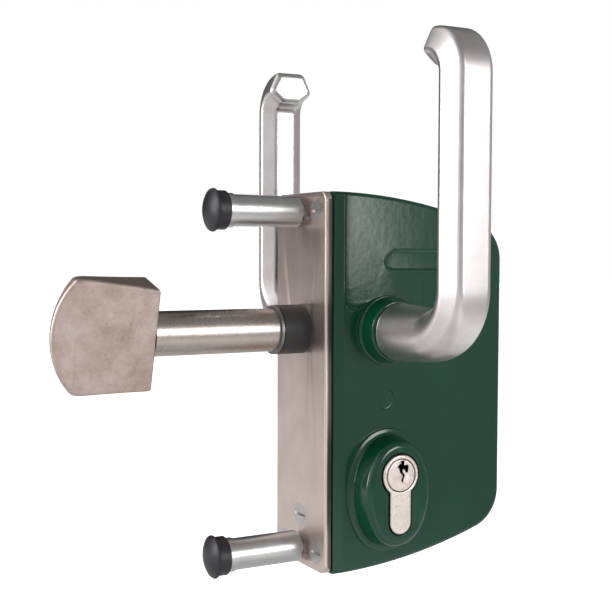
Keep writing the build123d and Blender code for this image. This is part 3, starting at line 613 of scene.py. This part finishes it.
def profileLoop(bm, y, grown=0.0):
    # the euro profile: head circle, leg and rounded foot
    size = openingSize
    before = set(bm.edges)
    head, leg = size["head"] + grown, size["leg"] + grown
    x, headZ, footZ = size["axisX"], size["cylinderZ"], size["footZ"]
    neckZ = headZ - math.sqrt(head**2 - leg**2)
    missing = 2 * math.asin(leg / head)
    start = bm.verts.new(at(x - leg, y, neckZ))
    vert = arcOn(bm, start, at(x, y, headZ), (0, 1, 0), 2 * math.pi - missing, 40)
    vert = lineOn(bm, vert, x + leg, y, footZ)
    vert = arcOn(bm, vert, at(x, y, footZ), (0, 1, 0), math.pi, 16)
    bm.edges.new((vert, start))
    return newEdges(bm, before)


def ovalLoop(bm, y, grown):
    # the cylinder collar's outline: two round ends and two slightly bowed sides
    size = collarSize
    before = set(bm.edges)
    halfWidth, halfHeight = size["halfWidth"] + grown, size["halfHeight"] + grown
    end = size["end"] + grown
    endCentre = halfHeight - end
    side = (halfWidth**2 + endCentre**2 - end**2) / (2 * (halfWidth - end))
    tilt = math.atan2(endCentre, side - halfWidth)
    x, z, turn = openingSize["axisX"], size["middleZ"], (0, 1, 0)
    start = bm.verts.new(at(x - end * math.cos(tilt), y, z + endCentre + end * math.sin(tilt)))
    vert = arcOn(bm, start, at(x, y, z + endCentre), turn, math.pi - 2 * tilt, 24)
    vert = arcOn(bm, vert, at(x + halfWidth - side, y, z), turn, 2 * tilt, 20)
    vert = arcOn(bm, vert, at(x, y, z - endCentre), turn, math.pi - 2 * tilt, 24)
    vert = arcOn(bm, vert, at(x - halfWidth + side, y, z), turn, 2 * tilt, 20)
    bmesh.ops.weld_verts(bm, targetmap={vert: start})
    return newEdges(bm, before)


def pillLoop(bm, y, inset):
    size = pillSize
    before = set(bm.edges)
    radius = size["height"] / 2 - inset
    reach = (size["length"] - size["height"]) / 2
    x, z = size["x"], size["z"]
    start = bm.verts.new(at(x - reach, y, z - radius))
    vert = arcOn(bm, start, at(x - reach, y, z), (0, 1, 0), math.pi, 18)
    vert = lineOn(bm, vert, x + reach, y, z + radius)
    vert = arcOn(bm, vert, at(x + reach, y, z), (0, 1, 0), math.pi, 18)
    bm.edges.new((vert, start))
    return newEdges(bm, before)


def openHandleCollar(bm, face, side, floor):
    # flared foot, step, ledge, rounded rim and bore; gives the foot's and the floor's loop
    size = handleCollar
    radius, bore = size["radius"], openingSize["bore"]
    ledgeEnd = radius - size["stepRound"] - size["ledge"]
    rows = hollowRows(0.0, radius, size["flare"], size["flare"], 6)
    rows += crownRows(size["step"], radius, size["stepRound"], 4)
    rows += hollowRows(size["step"], ledgeEnd, size["ledge"], size["ledge"], 5)[1:]
    rows += crownRows(size["height"], size["front"], size["rim"], 8)
    rows += hollowRows(size["height"], bore, -size["innerRim"], size["innerRim"], 4)
    x = openingSize["axisX"]
    loops = [circleLoop(bm, x, face + side * out, 0, across, size["steps"]) for out, across in rows]
    loops.append(circleLoop(bm, x, floor, 0, bore, size["steps"]))
    skin(bm, loops)
    return loops[0], loops[-1]


def openCylinderCollar(bm, face, side, floor):
    # the tapered oval collar with the cylinder's opening; gives the foot's and the floor's loop
    size = collarSize
    slope = math.tan(math.radians(size["taper"]))
    swell = size["out"] * slope
    foot = swell + size["stepOut" if side < 0 else "rearStepOut"]
    wall = swell - (size["step"] + size["ledge"]) * slope
    reach = foot - size["stepRound"] - wall
    rows = hollowRows(0.0, foot, size["flare"], size["flare"], 5)
    rows += crownRows(size["step"], foot, size["stepRound"], 4)
    rows += hollowRows(size["step"], wall, size["ledge"], reach, 6)[1:]
    rows += [
        (size["out"] - behind, behind * slope - inset)
        for behind, inset in edgeRows(size["rim"], 6)
    ]
    ovals = [ovalLoop(bm, face + side * out, across) for out, across in rows]
    skin(bm, ovals)
    gap, edge, depth = (openingSize[key] for key in ("gap", "gapEdge", "gapDepth"))
    mouth = [
        profileLoop(bm, face + side * (size["out"] - deep), grown)
        for deep, grown in ((0, gap + edge), (edge, gap), (depth, gap), (depth, 0))
    ]
    mouth.append(profileLoop(bm, floor))
    skin(bm, mouth)
    fillFlat(bm, ovals[-1] + mouth[0], (0, side, 0))
    return ovals[0], mouth[-1]


def openCollars(bm, face, side, floor):
    # both collars; gives all foot loops and all floor loops
    handleFoot, handleFloor = openHandleCollar(bm, face, side, floor)
    cylinderFoot, cylinderFloor = openCylinderCollar(bm, face, side, floor)
    return handleFoot + cylinderFoot, handleFloor + cylinderFloor


def closeSide(bm):
    # the case is open towards the faceplate: only the walls' own thickness is closed there
    left = caseSize["left"] * mm
    flat = [face for face in bm.faces if all(abs(vert.co.x - left) < 1e-7 for vert in face.verts)]
    bmesh.ops.delete(bm, geom=flat, context="FACES")
    fillFlat(bm, [edge for edge in bm.edges if edge.is_boundary], (-1, 0, 0))


def slopeBand(bm, face, side):
    # the sloping band beside the faceplate, with a soft crease
    size = caseSize
    middle, soft, fade = size["left"] + size["band"], size["crease"], size["fade"]
    fall = size["bulge"] / size["band"]
    for share in (-1, -0.5, 0, 0.5, 1):
        cutPlane(bm, at(middle + soft * share, 0, 0), (1, 0, 0))
    for vert in bm.verts:
        x, y = vert.co.x / mm, vert.co.y / mm
        if side * y < side * face - fade or x > middle + soft + 1e-4:
            continue
        if x <= middle - soft:
            sink = (middle - x) * fall
        else:
            sink = (middle + soft - x) ** 2 / (4 * soft) * fall
        share = min(1.0, max(0.0, (side * y - side * face + fade) / fade))
        vert.co.y -= side * sink * share * mm


def shadowGap(bm):
    # a shallow step all round the case where it meets the faceplate
    size = caseSize
    edge = size["left"] + size["groove"]
    for out in (0.0, size["grooveWall"]):
        cutPlane(bm, at(edge + out, 0, 0), (1, 0, 0))
    for vert in bm.verts:
        if vert.co.x / mm > edge + size["grooveWall"] / 3:
            continue
        y, z = vert.co.y / mm, vert.co.z / mm - size["middleZ"]
        if abs(y) > abs(size["front"]) - size["bulge"] - size["reach"]:
            vert.co.y -= math.copysign(size["sink"], y) * mm
        if abs(z) > size["height"] / 2 - size["reach"]:
            vert.co.z -= math.copysign(size["sink"], z) * mm


def startShell(bm, face, side, belts):
    # the outer side from the seam to the face's rounded edge, and the inner side
    size = caseSize
    seam, edge, floor = size["seam"], size["seamEdge"], face - side * size["wall"]
    outer = [caseLoop(bm, seam, size["wall"]), caseLoop(bm, seam, edge)]
    outer += [caseLoop(bm, y, 0.0) for y in (seam + side * edge, *belts)]
    outer += [
        caseLoop(bm, face - side * behind, inset) for behind, inset in edgeRows(size["edge"], 8)
    ]
    inner = caseLoop(bm, floor, size["wall"])
    bmesh.ops.bridge_loops(bm, edges=outer[0] + inner)
    skin(bm, outer)
    feet, floors = openCollars(bm, face, side, floor)
    return outer[-1] + feet, inner + floors


def endShell(bm, name, face, side, faceLoops, floorLoops, node):
    # the two flats between all the loops, then the side towards the faceplate
    fillFlat(bm, faceLoops, (0, side, 0))
    fillFlat(bm, floorLoops, (0, -side, 0))
    bmesh.ops.remove_doubles(bm, verts=bm.verts, dist=joinGap)
    closeSide(bm)
    slopeBand(bm, face, side)
    shadowGap(bm)
    finishPiece(bm, name, "housing", greenCoat, [node], sharp=40)


def makeFrontCase():
    size = caseSize
    bm = bmesh.new()
    front, x = size["front"], openingSize["axisX"]
    belts = (size["seam"] - size["belt"], front + size["belt"])
    faceLoops, floorLoops = startShell(bm, front, -1, belts)
    pill = [pillLoop(bm, front - out, inset) for out, inset in pillSize["rows"]]
    dimple = [
        circleLoop(bm, x, front - out, dimpleSize["z"], dimpleSize["radius"] - inset, 48)
        for out, inset in dimpleSize["rows"]
    ]
    for loops in (pill, dimple):
        skin(bm, loops)
        fillFlat(bm, loops[-1], (0, -1, 0))
        faceLoops = faceLoops + loops[0]
    endShell(bm, "frontCase", front, -1, faceLoops, floorLoops, "front_case")


makeFrontCase()

coverScrew = {
    "places": [(13.0, 31.0), (13.0, -45.0), (74.0, 31.0), (74.0, -74.0)],
    "head": 4.05,
    "headDepth": 2.15,
    "shank": 2.15,
    "edge": 0.15,
}


def makeRearCover():
    size = coverScrew
    bm = bmesh.new()
    rear = caseSize["rear"]
    faceLoops, floorLoops = startShell(bm, rear, 1, ())
    rows = (
        (rear, size["head"] + size["edge"]),
        (rear - size["edge"], size["head"]),
        (rear - size["headDepth"], size["shank"]),
        (rear - caseSize["wall"], size["shank"]),
    )
    for x, z in size["places"]:
        hole = [circleLoop(bm, x, y, z, radius, 32) for y, radius in rows]
        skin(bm, hole)
        faceLoops, floorLoops = faceLoops + hole[0], floorLoops + hole[-1]
    endShell(bm, "rearCover", rear, 1, faceLoops, floorLoops, "rear_cover")


makeRearCover()

# Lever handles

leverSize = {
    "axisX": 28.5,
    "start": 32.8,
    "stubLength": 8.0,
    "stubRadius": 8.0,
    "neck": 11.7,
    "neckRound": 0.985,
    "bend": 20.0,
    "bendShare": 0.33,  # how far the neck has turned into the grip's section at the bend
    "gripY": 76.05,
    "thickness": 14.8,
    "width": 22.6,
    "facet": 14.0,
    "back": 10.0,
    "widest": 2.1,
    "rounds": (2.6, 2.5, 3.0),
    "tipBend": 11.5,
    "tipZ": 98.6,
    "tipEnd": 62.0,
    "tipRound": 3.0,
    # the bead at the foot: how far out and how far inside the neck each section lies
    "bead": ((0, 0.3), (0.08, 0.05), (0.22, -0.08), (0.45, -0.12), (0.7, -0.1), (0.85, 0)),
}


def leverRing(bm, y, z, lean, share, inset=0.0, scale=1.0):
    # one section: six corners, each rounded by a vertex bevel, then leaned and put in place
    size = leverSize
    hexSide = 2 * size["neck"] / math.sqrt(3)

    def mix(roundValue, gripValue):
        return (roundValue + (gripValue - roundValue) * share) * scale

    facet, back = mix(hexSide, size["facet"]), mix(hexSide, size["back"])
    width, widest = mix(2 * hexSide, size["width"]), mix(0.0, size["widest"])
    thick = mix(2 * size["neck"], size["thickness"])
    corners = [(facet / 2, -thick / 2), (width / 2, widest), (back / 2, thick / 2)]
    corners += [(-across, along) for across, along in corners[::-1]]
    roundings = [mix(size["neck"] * size["neckRound"], value) for value in size["rounds"]]
    roundings += roundings[::-1]
    section = bmesh.new()
    verts = [section.verts.new((across, along, 0)) for across, along in corners]
    section.faces.new(verts)
    for vert, rounding in zip(verts, roundings):
        one, two = [(edge.other_vert(vert).co - vert.co).normalized() for edge in vert.link_edges]
        offset = rounding / math.tan(one.angle(two) / 2)
        roundOff(section, [vert], offset, segments=9, affect="VERTICES")
    section.faces.ensure_lookup_table()
    points = [vert.co.copy() for vert in section.faces[0].verts]
    section.free()
    shrink = Vector((1 - 2 * inset / width, 1 - 2 * inset / thick, 1))
    sine, cosine = math.sin(math.radians(lean)), math.cos(math.radians(lean))
    place = Matrix.Translation(at(size["axisX"], -y, z)) @ Matrix(
        ((1, 0, 0, 0), (0, sine, -cosine, 0), (0, cosine, sine, 0), (0, 0, 0, 1))
    )
    verts = [bm.verts.new(place @ (point * shrink * mm)) for point in points]
    return [bm.edges.new((verts[i - 1], verts[i])) for i in range(len(verts))]


def makeLever(name, node, side):
    # stub, bead, neck, bend, grip, the tip's bend and the tip; the rear lever is mirrored
    size = leverSize
    bm = bmesh.new()
    start, bend, gripY, tipZ = size["start"], size["bend"], size["gripY"], size["tipZ"]
    bendY, early = gripY - bend, size["bendShare"]
    stub = size["stubRadius"] / size["neck"]
    loops = [leverRing(bm, y, 0, 0, 0, scale=stub) for y in (start - size["stubLength"], start)]
    loops += [leverRing(bm, start + out, 0, 0, 0, inset) for out, inset in size["bead"]]
    neckY = start + size["bead"][-1][0]
    for step in range(1, 9):
        part = step / 8
        loops.append(leverRing(bm, neckY + (bendY - neckY) * part, 0, 0, early * part**1.3))
    for step in range(1, 19):
        turn = math.radians(step * 5)
        share = min(early + (1 - early) * (step / 18) ** 0.9, 1)
        y, z = bendY + bend * math.sin(turn), bend * (1 - math.cos(turn))
        loops.append(leverRing(bm, y, z, step * 5, share))
    for step in range(1, 8):
        loops.append(leverRing(bm, gripY, bend + (tipZ - bend) * step / 7, 90, 1))
    tipBend = size["tipBend"]
    for step in range(1, 13):
        turn = math.radians(step * 7.5)
        y, z = gripY - tipBend + tipBend * math.cos(turn), tipZ + tipBend * math.sin(turn)
        loops.append(leverRing(bm, y, z, 90 + step * 7.5, 1))
    tipRound = size["tipRound"]
    for a in arcSteps(6):
        y, inset = size["tipEnd"] + tipRound - tipRound * math.sin(a), tipRound * (1 - math.cos(a))
        loops.append(leverRing(bm, y, tipZ + tipBend, 180, 1, inset))
    skin(bm, loops)
    bmesh.ops.edgeloop_fill(bm, edges=loops[0])
    bmesh.ops.edgeloop_fill(bm, edges=loops[-1])
    if side > 0:
        bmesh.ops.scale(bm, vec=(1, -1, 1), verts=bm.verts)
    finishPiece(bm, name, "handle", satinAluminium, [node], sharp=50)


makeLever("frontLever", "front_handle", -1)
makeLever("rearLever", "rear_handle", 1)

# Hook head

headSize = {
    "back": -67.5,
    "nose": -107.0,
    "height": 42.0,
    "noseHeight": 46.5,
    "thickBack": 18.0,
    "thickNose": 3.0,
    "noseRadius": 34.0,
    "corner": 3.72,
    "edge": 1.2,
    "fold": 40.0,  # edges that turn by more than this are arrises
    "twist": 16.0,
    "noseTwist": 8.0,
    "cuts": (-78, -88, -97),  # rows that let the flats take the twist
}


def makeHead():
    size = headSize
    bm = bmesh.new()
    back, nose, radius = size["back"], size["nose"], size["noseRadius"]
    half, wide = size["height"] / 2, size["noseHeight"] / 2
    edgeX = nose + radius - math.sqrt(radius**2 - wide**2)
    start = bm.verts.new(at(back, 0, -half))
    vert = lineOn(bm, start, back, 0, half)
    upper = lineOn(bm, vert, edgeX, 0, wide)
    swing = 2 * math.asin(wide / radius)
    lower = arcOn(bm, upper, at(nose + radius, 0, 0), (0, -1, 0), swing, 36)
    bm.edges.new((lower, start))
    bmesh.ops.contextual_create(bm, geom=bm.edges[:])
    for corner in (upper, lower):
        roundOff(bm, [corner], size["corner"] * mm, segments=9, affect="VERTICES")
    for place in size["cuts"]:
        cutPlane(bm, at(place, 0, 0), (1, 0, 0))
    # one millimetre thick first, and then as thick as the taper says
    bmesh.ops.translate(bm, vec=at(0, -0.5, 0), verts=bm.verts)
    raised = bmesh.ops.extrude_face_region(bm, geom=bm.faces[:])
    bmesh.ops.translate(bm, vec=at(0, 1, 0), verts=vertsIn(raised["geom"]))

    def along(atBack, atNose, vert):
        return atBack + (atNose - atBack) * ((vert.co.x / mm - back) / (nose - back))

    for vert in bm.verts:
        vert.co.y *= along(size["thickBack"], size["thickNose"], vert)
    bmesh.ops.recalc_face_normals(bm, faces=bm.faces)
    fold = math.radians(size["fold"])
    arrises = [edge for edge in bm.edges if edge.calc_face_angle(0) > fold]
    roundOff(bm, arrises, size["edge"] * mm, segments=5)
    for vert in bm.verts:
        turn = math.radians(along(size["twist"], size["noseTwist"], vert))
        vert.co = Matrix.Rotation(turn, 3, "X") @ vert.co
    finishPiece(bm, "hookHead", "hook", headSteel, ["hook_head"], sharp=45)


makeHead()

# Euro profile cylinder and its plugs

cylinderSize = {
    "half": 35.0,
    "snug": -0.25,
    "edge": 0.8,
    "bore": 6.95,
    "boreEdge": 0.15,
    "plug": 6.58,
    "plugEdge": 0.35,
    "split": 9.0,
    "plugSplit": 10.5,
    "keyLip": 0.5,
    "keyDepth": 20.0,
    "seam": 0.02,
    "steps": 72,
}
keyOutline = [
    (-0.6, 6.1), (0.1, 5.1), (-1.0, 4.7), (-2.0, 3.6), (-1.1, 2.9), (-0.8, 1.3), (0.4, 0.3),
    (0.7, -0.7), (0.0, -1.5), (-0.1, -2.8), (0.8, -2.8), (1.0, -1.8), (1.7, -0.8), (1.6, 0.2),
    (0.6, 1.3), (0.6, 2.5), (1.4, 2.3), (2.0, 1.0), (3.1, 1.0), (3.6, 3.6), (2.9, 4.3),
    (1.3, 4.1), (1.4, 6.1),
]


def nodeMiddle(bm, node, low, high):
    # the part of a node's own mesh between two planes across Y, closed at both
    bm.from_mesh(frame["nodes"][node].data)
    bmesh.ops.remove_doubles(bm, verts=bm.verts, dist=nodeGap)
    for y, way in ((low, -1), (high, 1)):
        if y is None:
            continue
        cutPlane(bm, at(0, y, 0), (0, way, 0), clear=True)
        fillFlat(bm, [edge for edge in bm.edges if edge.is_boundary], (0, way, 0))


def makeCylinder():
    size = cylinderSize
    bm = bmesh.new()
    nodeMiddle(bm, "cylinder_body", -size["split"], size["split"])
    x, z = openingSize["axisX"], openingSize["cylinderZ"]
    snug, boreEdge = size["snug"], size["boreEdge"]
    for side in (-1, 1):
        inner = side * (size["split"] + size["seam"])
        outer = [profileLoop(bm, inner, snug)]
        outer += [
            profileLoop(bm, side * (size["half"] - behind), snug - inset)
            for behind, inset in edgeRows(size["edge"], 5)
        ]
        bore = [
            circleLoop(bm, x, y, z, radius, size["steps"])
            for y, radius in (
                (side * size["half"], size["bore"] + boreEdge),
                (side * (size["half"] - boreEdge), size["bore"]),
                (inner, size["bore"]),
            )
        ]
        skin(bm, outer)
        skin(bm, bore)
        fillFlat(bm, outer[-1] + bore[0], (0, side, 0))
        fillFlat(bm, outer[0] + bore[-1], (0, -side, 0))
    material = metals["nickel"]
    finishPiece(bm, "cylinderBody", "housing", material, ["cylinder_body"], sharp=35)


def keyLoop(bm, y, side):
    # the key slot's outline, as seen from the side's own front
    x, z = openingSize["axisX"], openingSize["cylinderZ"]
    before = set(bm.edges)
    (firstX, firstZ), *others = keyOutline
    start = vert = bm.verts.new(at(x - side * firstX, y, z + firstZ))
    for alongX, alongZ in others:
        vert = lineOn(bm, vert, x - side * alongX, y, z + alongZ)
    bm.edges.new((vert, start))
    return newEdges(bm, before)


def makePlug(name, node, body, side):
    size = cylinderSize
    bm = bmesh.new()
    if side < 0:
        nodeMiddle(bm, node, -size["plugSplit"], None)
    else:
        nodeMiddle(bm, node, None, size["plugSplit"])
    x, z = openingSize["axisX"], openingSize["cylinderZ"]
    inner = side * (size["plugSplit"] + size["seam"])
    shell = [circleLoop(bm, x, inner, z, size["plug"], size["steps"])]
    shell += [
        circleLoop(bm, x, side * (size["half"] - behind), z, size["plug"] - inset, size["steps"])
        for behind, inset in edgeRows(size["plugEdge"], 3)
    ]
    skin(bm, shell)
    depths = (0, size["keyLip"], size["keyDepth"])
    keyway = [keyLoop(bm, side * (size["half"] - deep), side) for deep in depths]
    skin(bm, keyway[:2])
    bright = set(bm.faces)
    skin(bm, keyway[1:])
    fillFlat(bm, keyway[-1], (0, side, 0))
    # painted shade: faces deeper than the lip get the near-black keyShadow material
    for face in bm.faces:
        if face not in bright:
            face.material_index = 1  # the dark depth of the key slot
    fillFlat(bm, shell[-1] + keyway[0], (0, side, 0))
    fillFlat(bm, shell[0], (0, -side, 0))
    piece = finishPiece(bm, name, body, metals["nickel"], [node], sharp=35)
    piece.data.materials.append(plastics["keyShadow"])


makeCylinder()
makePlug("frontPlug", "front_plug", "front_keyway", -1)
makePlug("rearPlug", "rear_plug", "rear_keyway", 1)

# Caps over the fixing bolts

capSize = {
    "face": -40.0,
    "centres": (49.25, -92.25),
    "radius": 8.8,
    "rim": 0.7,
    "dome": 2.8,
    "domeInset": 0.5,
    # (along, radius) from the dome's foot over the rim and round the skirt to the axis
    "skirt": (
        (0.6, 8.68), (0.25, 8.8), (0, 8.8), (0, 7.95), (-4.7, 7.95), (-5, 7.7), (-5, 7.1),
        (0, 7.1), (0, 0),
    ),
    "steps": 64,
}


def makeCaps():
    size = capSize
    bm = bmesh.new()
    ball = (size["radius"] ** 2 + size["dome"] ** 2) / (2 * size["dome"])
    top = size["rim"] + size["dome"]
    swing = math.asin((size["radius"] - size["domeInset"]) / ball)
    profile = [
        (top - ball * (1 - math.cos(swing * step / 10)), ball * math.sin(swing * step / 10))
        for step in range(11)
    ]
    profile += size["skirt"]
    for z in size["centres"]:
        lathe(bm, profile, (size["face"], 0, z), (-1, 0, 0), (0, 1, 0), size["steps"])
    material = plastics["blackPlastic"]
    finishPiece(bm, "boltCaps", "housing", material, ["fixing_caps"], sharp=40)


makeCaps()

# Floor: near white where it is seen, and it lights the lock most from the right front

floorSize = {
    "z": -0.205,
    "span": 6.0,
    "pale": (0.88, 0.92),
    "roughness": 0.9,
    "seen": 0.9,
    "behind": 0.10,
    "near": 0.50,
    "far": 0.05,
    "nearRange": (0.12, 0.30),
    "farRange": (0.42, 0.75),
}
floorMesh = bpy.data.meshes.new("floor")
bm = bmesh.new()
bmesh.ops.create_grid(bm, x_segments=1, y_segments=1, size=floorSize["span"])
bmesh.ops.translate(bm, vec=(0, 0, floorSize["z"]), verts=bm.verts)
bm.to_mesh(floorMesh)
bm.free()
floor = bpy.data.objects.new("floor", floorMesh)
scene.collection.objects.link(floor)
floorLook, floorTree, floorShader, floorCoords = newMaterial("paleFloor")
floorStops = list(zip((0.3, 0.7), floorSize["pale"]))
floorColour = ramp(floorTree, noise(floorTree, floorCoords, scale=3, detail=3), floorStops)
floorTree.links.new(floorColour, floorShader.inputs["Base Color"])
floorShader.inputs["Roughness"].default_value = floorSize["roughness"]
floorShader.inputs["Emission Color"].default_value = (*grey(1), 1)
floorSides = floorTree.nodes.new("ShaderNodeVectorMath")
floorSides.operation = "DOT_PRODUCT"
floorSides.inputs[1].default_value = (1, -1, 0)
floorTree.links.new(floorCoords, floorSides.inputs[0])
floorPlace = floorSides.outputs["Value"]
floorNear = spread(
    floorTree, floorPlace, floorSize["behind"], floorSize["near"], *floorSize["nearRange"]
)
floorFar = spread(floorTree, floorPlace, 0.0, 1.0, *floorSize["farRange"])
floorSeen = floorTree.nodes.new("ShaderNodeLightPath").outputs["Is Camera Ray"]
floorGlow = blendColour(floorTree, floorFar, floorNear, grey(floorSize["far"]))
floorGlow = blendColour(floorTree, floorSeen, floorGlow, grey(floorSize["seen"]))
floorTree.links.new(floorGlow, floorShader.inputs["Emission Strength"])
floorMesh.materials.append(floorLook)

# Studio round the lock: white where it is seen, and soft patches where it lights and reflects

worldSize = {
    "side": 0.30,
    # direction, the two cosines between which a patch fades in, how bright it is
    "front": ((0.5, -0.86, 0), -0.1, 0.5, 0.50),
    "sky": ((0, 0, 1), 0.35, 0.85, 0.26),
    "back": ((-0.1, 1, 0.1), 0.30, 0.75, 0.03),
    "left": ((-1, -0.12, 0.2), 0.74, 0.93, 1.1),
    "gap": ((-0.56, -0.83, 0), 0.982, 0.995, 0.1),
    "above": ((-0.5, 0.4, 0.77), 0.84, 0.96, 0.9),
    # the panel that lays a haze on the case, and its four sides
    "haze": 8.6,
    "hazeSides": (
        ((0.97, 0.242, 0), -0.08, 0.08),
        ((-0.853, -0.522, 0), -0.05, 0.06),
        ((0, 0, 1), -0.11, 0.03),
        ((0, 0, -1), -0.42, -0.28),
    ),
}
world = bpy.data.worlds.new("studio")
scene.world = world
world.use_nodes = True
sky = world.node_tree
skyCoords = sky.nodes.new("ShaderNodeTexCoord").outputs["Generated"]


def toward(direction, low, high):
    # how far a ray leans to a direction, as a smooth step between two cosines
    dot = sky.nodes.new("ShaderNodeVectorMath")
    dot.operation = "DOT_PRODUCT"
    dot.inputs[1].default_value = Vector(direction).normalized()
    sky.links.new(skyCoords, dot.inputs[0])
    step = sky.nodes.new("ShaderNodeMapRange")
    step.interpolation_type = "SMOOTHSTEP"
    step.inputs["From Min"].default_value = low
    step.inputs["From Max"].default_value = high
    sky.links.new(dot.outputs["Value"], step.inputs["Value"])
    return step.outputs["Result"]


def times(first, second):
    node = sky.nodes.new("ShaderNodeMath")
    node.operation = "MULTIPLY"
    sky.links.new(first, node.inputs[0])
    sky.links.new(second, node.inputs[1])
    return node.outputs["Value"]


shade = grey(worldSize["side"])
for patch in ("front", "sky", "back", "left", "gap", "above"):
    direction, low, high, glow = worldSize[patch]
    shade = blendColour(sky, toward(direction, low, high), shade, grey(glow))
right, left, low, high = [toward(*side) for side in worldSize["hazeSides"]]
panel = times(times(right, left), times(low, high))
shade = blendColour(sky, panel, shade, grey(worldSize["haze"]))
skySeen = sky.nodes.new("ShaderNodeLightPath").outputs["Is Camera Ray"]
skyColour = blendColour(sky, skySeen, shade, grey(1.0))
sky.links.new(skyColour, sky.nodes["Background"].inputs["Color"])

# Soft box on the left; glow is how bright the box itself is

boxSize = {
    "place": (-1.38, 0.42, 0.42),
    "target": (0.03, -0.03, 0.0),
    "width": 0.28,
    "height": 0.9,
    "glow": 13.5,
}
boxLight = bpy.data.lights.new("leftBox", "AREA")
boxLight.shape = "RECTANGLE"
boxLight.size, boxLight.size_y = boxSize["width"], boxSize["height"]
boxLight.energy = boxSize["glow"] * boxSize["width"] * boxSize["height"] * math.pi
lamp = bpy.data.objects.new("leftBox", boxLight)
lamp.location = boxSize["place"]
lamp.rotation_mode = "QUATERNION"
aim = Vector(boxSize["target"]) - Vector(boxSize["place"])
lamp.rotation_quaternion = aim.to_track_quat("-Z", "Y")
scene.collection.objects.link(lamp)

# Camera; focal is the focal length as a share of the frame's width

cameraSize = {
    "place": (-0.2224, -0.4148, 0.0336),
    "yaw": 28.49,
    "pitch": 2.89,
    "roll": 0.20,
    "focal": 1118.34 / 612,
    "sensor": 36.0,
    "clip": 0.01,
}
cameraData = bpy.data.cameras.new("photoCamera")
cameraData.sensor_width = cameraSize["sensor"]
cameraData.lens = cameraSize["focal"] * cameraSize["sensor"]
cameraData.clip_start = cameraSize["clip"]
camera = bpy.data.objects.new("photoCamera", cameraData)
yaw, pitch, roll = (math.radians(cameraSize[key]) for key in ("yaw", "pitch", "roll"))
level = Vector((math.cos(yaw), -math.sin(yaw), 0))
forward = Vector(
    (math.sin(yaw) * math.cos(pitch), math.cos(yaw) * math.cos(pitch), -math.sin(pitch))
)
rightward = level * math.cos(roll) + level.cross(forward) * math.sin(roll)
axes = Matrix((rightward, rightward.cross(forward), -forward)).transposed()
camera.rotation_mode = "QUATERNION"
camera.rotation_quaternion = axes.to_quaternion()
camera.location = cameraSize["place"]
scene.collection.objects.link(camera)
scene.camera = camera
scene.view_settings.view_transform = "Standard"
print("camera and light ready")
